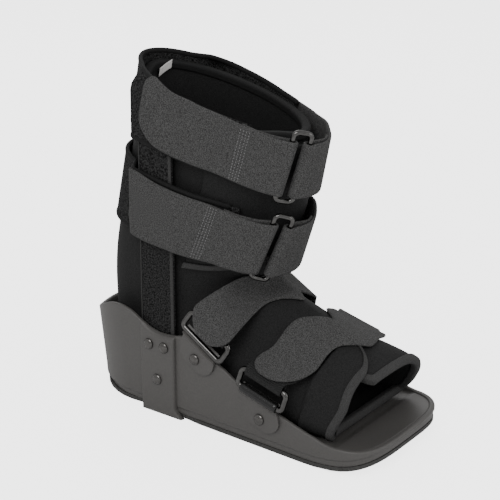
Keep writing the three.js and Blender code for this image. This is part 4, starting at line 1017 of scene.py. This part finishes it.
def looped_strap(belt, which, end_turn, corners, back_turns):
    low_row, high_row = belt["tab"]
    mid = (low_row + high_row) / 2
    reach = (high_row - low_row) / 2
    middle = looped_line(belt, mid, which, end_turn, back_turns)
    half_breadth = np.linalg.norm(looped_line(belt, high_row, which, end_turn, back_turns)[0]
                                  - looped_line(belt, low_row, which, end_turn, back_turns)[0]) / 2
    columns = []
    for s in across_columns(17):
        full = looped_line(belt, mid + s * reach, which, end_turn, back_turns)
        corner = corners[1] if s > 0 else corners[0]
        width = end_share(lengths(middle) + 0.3, corner, half_breadth) if corner else np.ones(len(middle))
        for i in np.nonzero(width < 0.999)[0]:
            full[i] = looped_line(belt, mid + s * reach * width[i], which, end_turn, back_turns)[i]
        columns.append(full)
    return np.stack(columns, axis=1)


def wire_loop(name, centre, length_way, cross_way, length, width, corner, radius):
    normal = unit(np.cross(length_way, cross_way))
    rings = []
    for a, b, start in ((1, 1, 0), (-1, 1, 90), (-1, -1, 180), (1, -1, 270)):
        for t in np.radians(np.linspace(start, start + 90, 13)):
            out = length_way * math.cos(t) + cross_way * math.sin(t)
            along_it = length_way * (a * (length / 2 - corner))
            across_it = cross_way * (b * (width / 2 - corner))
            middle = centre + along_it + across_it + out * corner
            turn = np.radians(np.linspace(0, 360, 21)[:-1])[:, None]
            rings.append(middle + radius * (out * np.cos(turn) + normal * np.sin(turn)))
    return tube(name, rings, closed=True)


ROLL_WIDE = 2.2
ROLL_THICK = 1.75
tab_grids = {}
for belt in calf_belts:
    turn_grid = np.linspace(140, 388, 200)[:, None]
    row_grid = mix(belt["band"][0], belt["band"][1], across_columns(15)[None, :] / 2 + 0.5)
    turn_grid = np.where(turn_grid > 300, turn_grid - 360, turn_grid)
    band = strip(f"{belt['name']}_pile_band", strap_point(belt, row_grid, turn_grid, 0), BAND_THICK)
    place(band, [f"{belt['name']}_band"], "pile_fabric", pile_cloth)
    for edge_name, edge_row in (("lower", belt["band"][0]), ("upper", belt["band"][1])):
        first = 205 if belt["name"] == "upper" and edge_row == belt["band"][1] else 146
        edge_turns = np.linspace(first, 388, 160)
        edge_turns = np.where(edge_turns > 300, edge_turns - 360, edge_turns)
        line = strap_point(belt, edge_row, edge_turns, 0)
        inward = 0.12 if edge_row == belt["band"][0] else -0.12
        up_way = unit(strap_point(belt, edge_row + inward, edge_turns, 0) - line)
        out_way = unit(np.cross(np.gradient(line, axis=0), up_way))
        spin = np.radians(np.linspace(0, 360, 13)[:-1])[None, :, None]
        roll = (line + up_way)[:, None] + ROLL_WIDE * up_way[:, None] * np.cos(spin)
        roll = roll + ROLL_THICK * out_way[:, None] * np.sin(spin)
        rolled = tube(f"{belt['name']}_band_{edge_name}_edge", roll, closed=False)
        place(rolled, [], "binding_tape", rim_tape)
    tab_grids[belt["name"]] = looped_strap(belt, -1, belt["end"], belt["corners"], 26)
    tab = strip(f"{belt['name']}_strap_tab", tab_grids[belt["name"]], STRAP_THICK)
    place(tab, [f"{belt['name']}_tab"], "strap_fabric", strap_cloth)
    keeper = strip(f"{belt['name']}_strap_keeper", looped_strap(belt, 1, -24, (0, 0), 22), STRAP_THICK)
    place(keeper, [f"{belt['name']}_keeper"], "strap_fabric", strap_cloth)
    low, high, length_way, forward, _ = ring_frame(belt)
    centre = (low + high) / 2 + length_way * belt["raise"]
    height = np.linalg.norm(high - low) + 2 * (RING_CORNER + WIRE)
    ring = wire_loop(f"{belt['name']}_wire_ring", centre, length_way, forward, height, RING_SPAN,
                     RING_CORNER, WIRE)
    place(ring, [f"{belt['name']}_ring"], "ring_metal", ring_metal)
print("calf straps made")

# %% [markdown]
# The foot rings hang on the chafe tabs. Each is a D-ring of round wire in its own leaning frame: along its
# lower bar, up through the ring, and outward. A polished bar lies along its lower side, and the forefoot
# rings' bars lie in a sleeve of dark glossy plastic.
# %% Foot ring frames
CHAFE = 1.6
FOOT_RING_HEIGHT = 14.0
FOOT_RING_WIDTH = 41.0
FOOT_WIRE = WIRE * 1.15
BAR_HALF = 15.5
BAR_RADIUS = 2.15
SLEEVE_HALF = 16.5
SLEEVE_RADIUS = 3.1
SLEEVE_WALL = 1.3
foot_rings = {"instep": {"y": 0.031 * HALF, "z": 0.85 * CUP, "slope": 31, "lean": 13, "far_lean": 35},
              "forefoot": {"y": -0.357 * HALF, "z": 0.516 * CUP, "slope": 15, "lean": 6, "far_lean": 6}}


def foot_frame(name, side):
    ring = foot_rings[name]
    slope = math.radians(ring["slope"])
    lean = math.radians(ring["lean"] if side < 0 else ring["far_lean"])
    taper = float(wall_half(ring["y"] + 10) - wall_half(ring["y"] - 10)) / 20
    along_bar = unit(np.array([side * taper * math.cos(slope), math.cos(slope), math.sin(slope)]))
    up = np.array([-side * math.sin(lean), -math.sin(slope) * math.cos(lean),
                   math.cos(slope) * math.cos(lean)])
    up = unit(up - along_bar * np.dot(up, along_bar))
    outward = unit(np.cross(along_bar, up))
    outward = -outward if outward[0] * side < 0 else outward
    origin = np.array([side * (float(wall_half(ring["y"])) + GAP + CHAFE / 2 + 1.4), ring["y"], ring["z"]])
    return origin, along_bar, up, outward


def in_frame(frame_parts, a, u, o):
    origin, along_bar, up, outward = frame_parts
    return origin + along_bar * a + up * u + outward * o


for name in foot_rings:
    for side, side_name in ((-1, "right"), (1, "left")):
        parts = foot_frame(name, side)
        centre = in_frame(parts, 0, FOOT_RING_HEIGHT / 2, 0)
        ring = wire_loop(f"{name}_wire_ring_{side_name}", centre, parts[1], parts[2], FOOT_RING_WIDTH,
                         FOOT_RING_HEIGHT, RING_CORNER, FOOT_WIRE)
        place(ring, [f"{name}_ring_{side_name}"], "ring_metal", ring_metal)
        bar_turn = np.radians(np.linspace(0, 360, 25)[:-1])[None, :, None]
        bar_along = np.linspace(-BAR_HALF, BAR_HALF, 30)
        bar_middle = np.array([in_frame(parts, a, 0, 0) for a in bar_along])
        bar_round = parts[2] * np.sin(bar_turn) + parts[3] * np.cos(bar_turn)
        bar_rings = bar_middle[:, None] + BAR_RADIUS * bar_round
        bar = tube(f"{name}_bar_{side_name}", bar_rings, closed=False)
        place(bar, [], "ring_metal", ring_metal)
        if name == "forefoot":
            wrap = np.radians(np.linspace(-110, 235, 40))[:, None]
            sleeve_round = SLEEVE_RADIUS * (parts[2] * np.sin(wrap) + parts[3] * np.cos(wrap))
            sleeve_along = np.linspace(-SLEEVE_HALF, SLEEVE_HALF, 25)
            sleeve_grid = np.stack([in_frame(parts, a, 0, 0) + sleeve_round for a in sleeve_along], axis=1)
            sleeve = strip(f"forefoot_bar_sleeve_{side_name}", sleeve_grid, SLEEVE_WALL)
            place(sleeve, [], "shell_plastic", gloss_plastic)
print("foot rings made")

# %% [markdown]
# A foot strap rises from one ring, goes over the foot and down to the other ring. Its line is a smooth
# curve through points over its ring and on the liner; the same curve family gives every column of it.
# %% Foot straps
STRAP_WIDTH = 38.0
WEBBING_WIDTH = 33.0
WEBBING_THICK = 1.5
WEB_RADIUS = WIRE + GAP + WEBBING_THICK / 2
OVER_WEBBING = WEBBING_THICK / 2 + GAP + STRAP_THICK / 2
STEPS = 160


def smooth_line(points, steps):
    """A centripetal curve through the points."""
    points = np.asarray(points, float)
    last = len(points) - 1
    line = []
    for t in np.linspace(0, last, steps + 1):
        i = min(int(t), last - 1)
        w = t - i
        p1, p2 = points[i], points[i + 1]
        p0 = points[i - 1] if i > 0 else 2 * p1 - p2
        p3 = points[i + 2] if i + 2 <= last else 2 * p2 - p1
        d0 = max(np.linalg.norm(p1 - p0) ** 0.5, 1e-4)
        d1 = max(np.linalg.norm(p2 - p1) ** 0.5, 1e-4)
        d2 = max(np.linalg.norm(p3 - p2) ** 0.5, 1e-4)
        m1 = ((p1 - p0) / d0 - (p2 - p0) / (d0 + d1) + (p2 - p1) / d1) * d1
        m2 = ((p2 - p1) / d1 - (p3 - p1) / (d1 + d2) + (p3 - p2) / d2) * d1
        a = 2 * p1 - 2 * p2 + m1 + m2
        b = -3 * p1 + 3 * p2 - 2 * m1 - m2
        line.append(a * w**3 + b * w**2 + m1 * w + p1)
    return np.array(line)


def belt_out(belt, turn):
    turn = np.asarray(turn, float)
    on_near = belt["side"] * smooth(24, 56, turn - 90)
    on_side = np.where(turn > 90, on_near, belt["far"] * smooth(34, 48, 90 - turn))
    on_flap = belt["flap"] * smooth(84, 104, turn)
    return STRAP_THICK / 2 + 0.6 + np.maximum(on_flap, on_side)


def belt_line(belt, s, steps=STEPS):
    turn = np.linspace(belt["first"], belt["last"], 13)
    over = offset(liner_form, foot_strap_row(belt, s, turn), turn, belt_out(belt, turn))

    def ends(side):
        heights = belt["ends"] if side < 0 else belt["far_ends"]
        parts = foot_frame(belt["name"], side)
        return [in_frame(parts, -s * STRAP_WIDTH / 2, up, belt["over"] + OVER_WEBBING) for up in heights]
    return smooth_line([*ends(-1), *over, *ends(1)[::-1]], steps)


def belt_grid(belt):
    middle = belt_line(belt, 0)
    travel = lengths(middle)
    width = end_share(travel + 0.4, 19, STRAP_WIDTH / 2)
    columns = []
    for s in across_columns(19):
        full = belt_line(belt, s)
        for i in np.nonzero(width < 0.999)[0]:
            full[i] = belt_line(belt, s * width[i])[i]
        columns.append(full)
    return np.stack(columns, axis=1)


belt_grids = {}
for belt in (instep_belt, forefoot_belt):
    belt_grids[belt["name"]] = belt_grid(belt)
    piece = strip(f"{belt['name']}_foot_strap", belt_grids[belt["name"]], STRAP_THICK)
    place(piece, [f"{belt['name']}_strap"], "strap_fabric", strap_cloth)
print("foot straps made")

# %% [markdown]
# Black ribbed webbing goes round the ring's upper bar, with its outer layer under the grey strap.
# %% Webbing
def under_strap(belt, side, share, step):
    i = step * (STEPS // 40)
    i = i if side < 0 else STEPS - i
    line = belt_line(belt, share)
    tangent = line[i + 1] - line[i - 1]
    across = belt_line(belt, share + 0.1)[i] - line[i]
    return line[i] - unit(np.cross(across, tangent)) * (OVER_WEBBING + 1.2)


web_tails = {"instep": ([], [17.5, 16], 3.0), "forefoot": ([5, 4, 3, 2, 1], [20], -0.2)}
for belt in (instep_belt, forefoot_belt):
    for side, side_name in ((-1, "right"), (1, "left")):
        parts = foot_frame(belt["name"], side)
        steps, over_end, over_out = web_tails[belt["name"]]
        columns = []
        for s in across_columns(13):
            share = s * WEBBING_WIDTH / STRAP_WIDTH
            a = -s * WEBBING_WIDTH / 2
            path = [under_strap(belt, side, share, step) for step in steps]
            path += [in_frame(parts, a, up, over_out) for up in over_end]
            for angle in np.radians(np.linspace(90, -90, 7)):
                path.append(in_frame(parts, a, FOOT_RING_HEIGHT - WEB_RADIUS * math.cos(angle),
                                     WEB_RADIUS * math.sin(angle)))
            for more in (4, 8):
                path.append(in_frame(parts, a, FOOT_RING_HEIGHT + more, -WEB_RADIUS + 0.1 * more))
            columns.append(smooth_line(path, 60))
        web = strip(f"{belt['name']}_webbing_loop_{side_name}", np.stack(columns, axis=1), WEBBING_THICK)
        place(web, [f"{belt['name']}_webbing_{side_name}"], "webbing_fabric", webbing)
print("webbing made")

# %% [markdown]
# Four rows of light thread hold each tab's folded end. Each stitch is a small bead of thread lying on the
# cloth, and all of a tab's stitches are one mesh.
# %% Stitches
def stitch_mesh(name, places, ways, normals, length, radius):
    points = []
    faces = []
    ring_turns = np.radians(np.arange(6) * 60)
    for p, way, normal in zip(places, ways, normals):
        side_way = np.cross(normal, way)
        for t, r in ((-0.5, 0.25), (-0.3, 0.85), (0.0, 1.0), (0.3, 0.85), (0.5, 0.25)):
            for turn in ring_turns:
                out = side_way * math.cos(turn) + normal * math.sin(turn)
                points.append(p + way * t * length + out * radius * r)
        first = len(points) - 30
        faces += grid_faces(5, 6, first, closed=True)
        faces.append(tuple(first + j for j in range(6))[::-1])
        faces.append(tuple(first + 24 + j for j in range(6)))
    return mesh_piece(name, points, faces)


def rows_on_grid(grid, thickness, along_places, across_from, across_to, pitch):
    """Stitch places in rows that cross the strip at given distances along it."""
    travel = lengths(grid[:, grid.shape[1] // 2])
    normals = grid_normals(grid)
    third = len(travel) // 3
    middle = grid[third, grid.shape[1] // 2]
    from_leg = middle - np.array([0, 30, middle[2]])
    sign = 1 if np.dot(normals[third, grid.shape[1] // 2], from_leg) > 0 else -1
    places, ways, ups = [], [], []
    for distance in along_places:
        f = np.interp(distance, travel, np.arange(len(travel)))
        i = int(f)
        line = mix(grid[i], grid[i + 1], f - i)
        up = unit(mix(normals[i], normals[i + 1], f - i)) * sign
        run = lengths(line)
        for d in np.arange(across_from, run[-1] - across_to, pitch):
            p = np.array([np.interp(d, run, line[:, k]) for k in range(3)])
            q = np.array([np.interp(d + 0.5, run, line[:, k]) for k in range(3)])
            n = unit(np.array([np.interp(d, run, up[:, k]) for k in range(3)]))
            places.append(p + n * (thickness / 2))
            ways.append(unit(q - p))
            ups.append(n)
    return places, ways, ups


ROW_PITCH = 2.3
STITCH_PITCH = 2.2
STITCH_LENGTH = 1.3
STITCH_RADIUS = 0.32
stitch_from = {"upper": 84.0, "lower": 76.0}
for name, start in stitch_from.items():
    grid = tab_grids[name]
    row_places = [start + k * ROW_PITCH for k in range(4)]
    places = rows_on_grid(grid, STRAP_THICK, row_places, 2.0, 1.5, STITCH_PITCH)
    piece = stitch_mesh(f"{name}_tab_stitches", *places, STITCH_LENGTH, STITCH_RADIUS)
    place(piece, [], "strap_fabric", thread)
    print(name, "stitches:", len(places[0]))
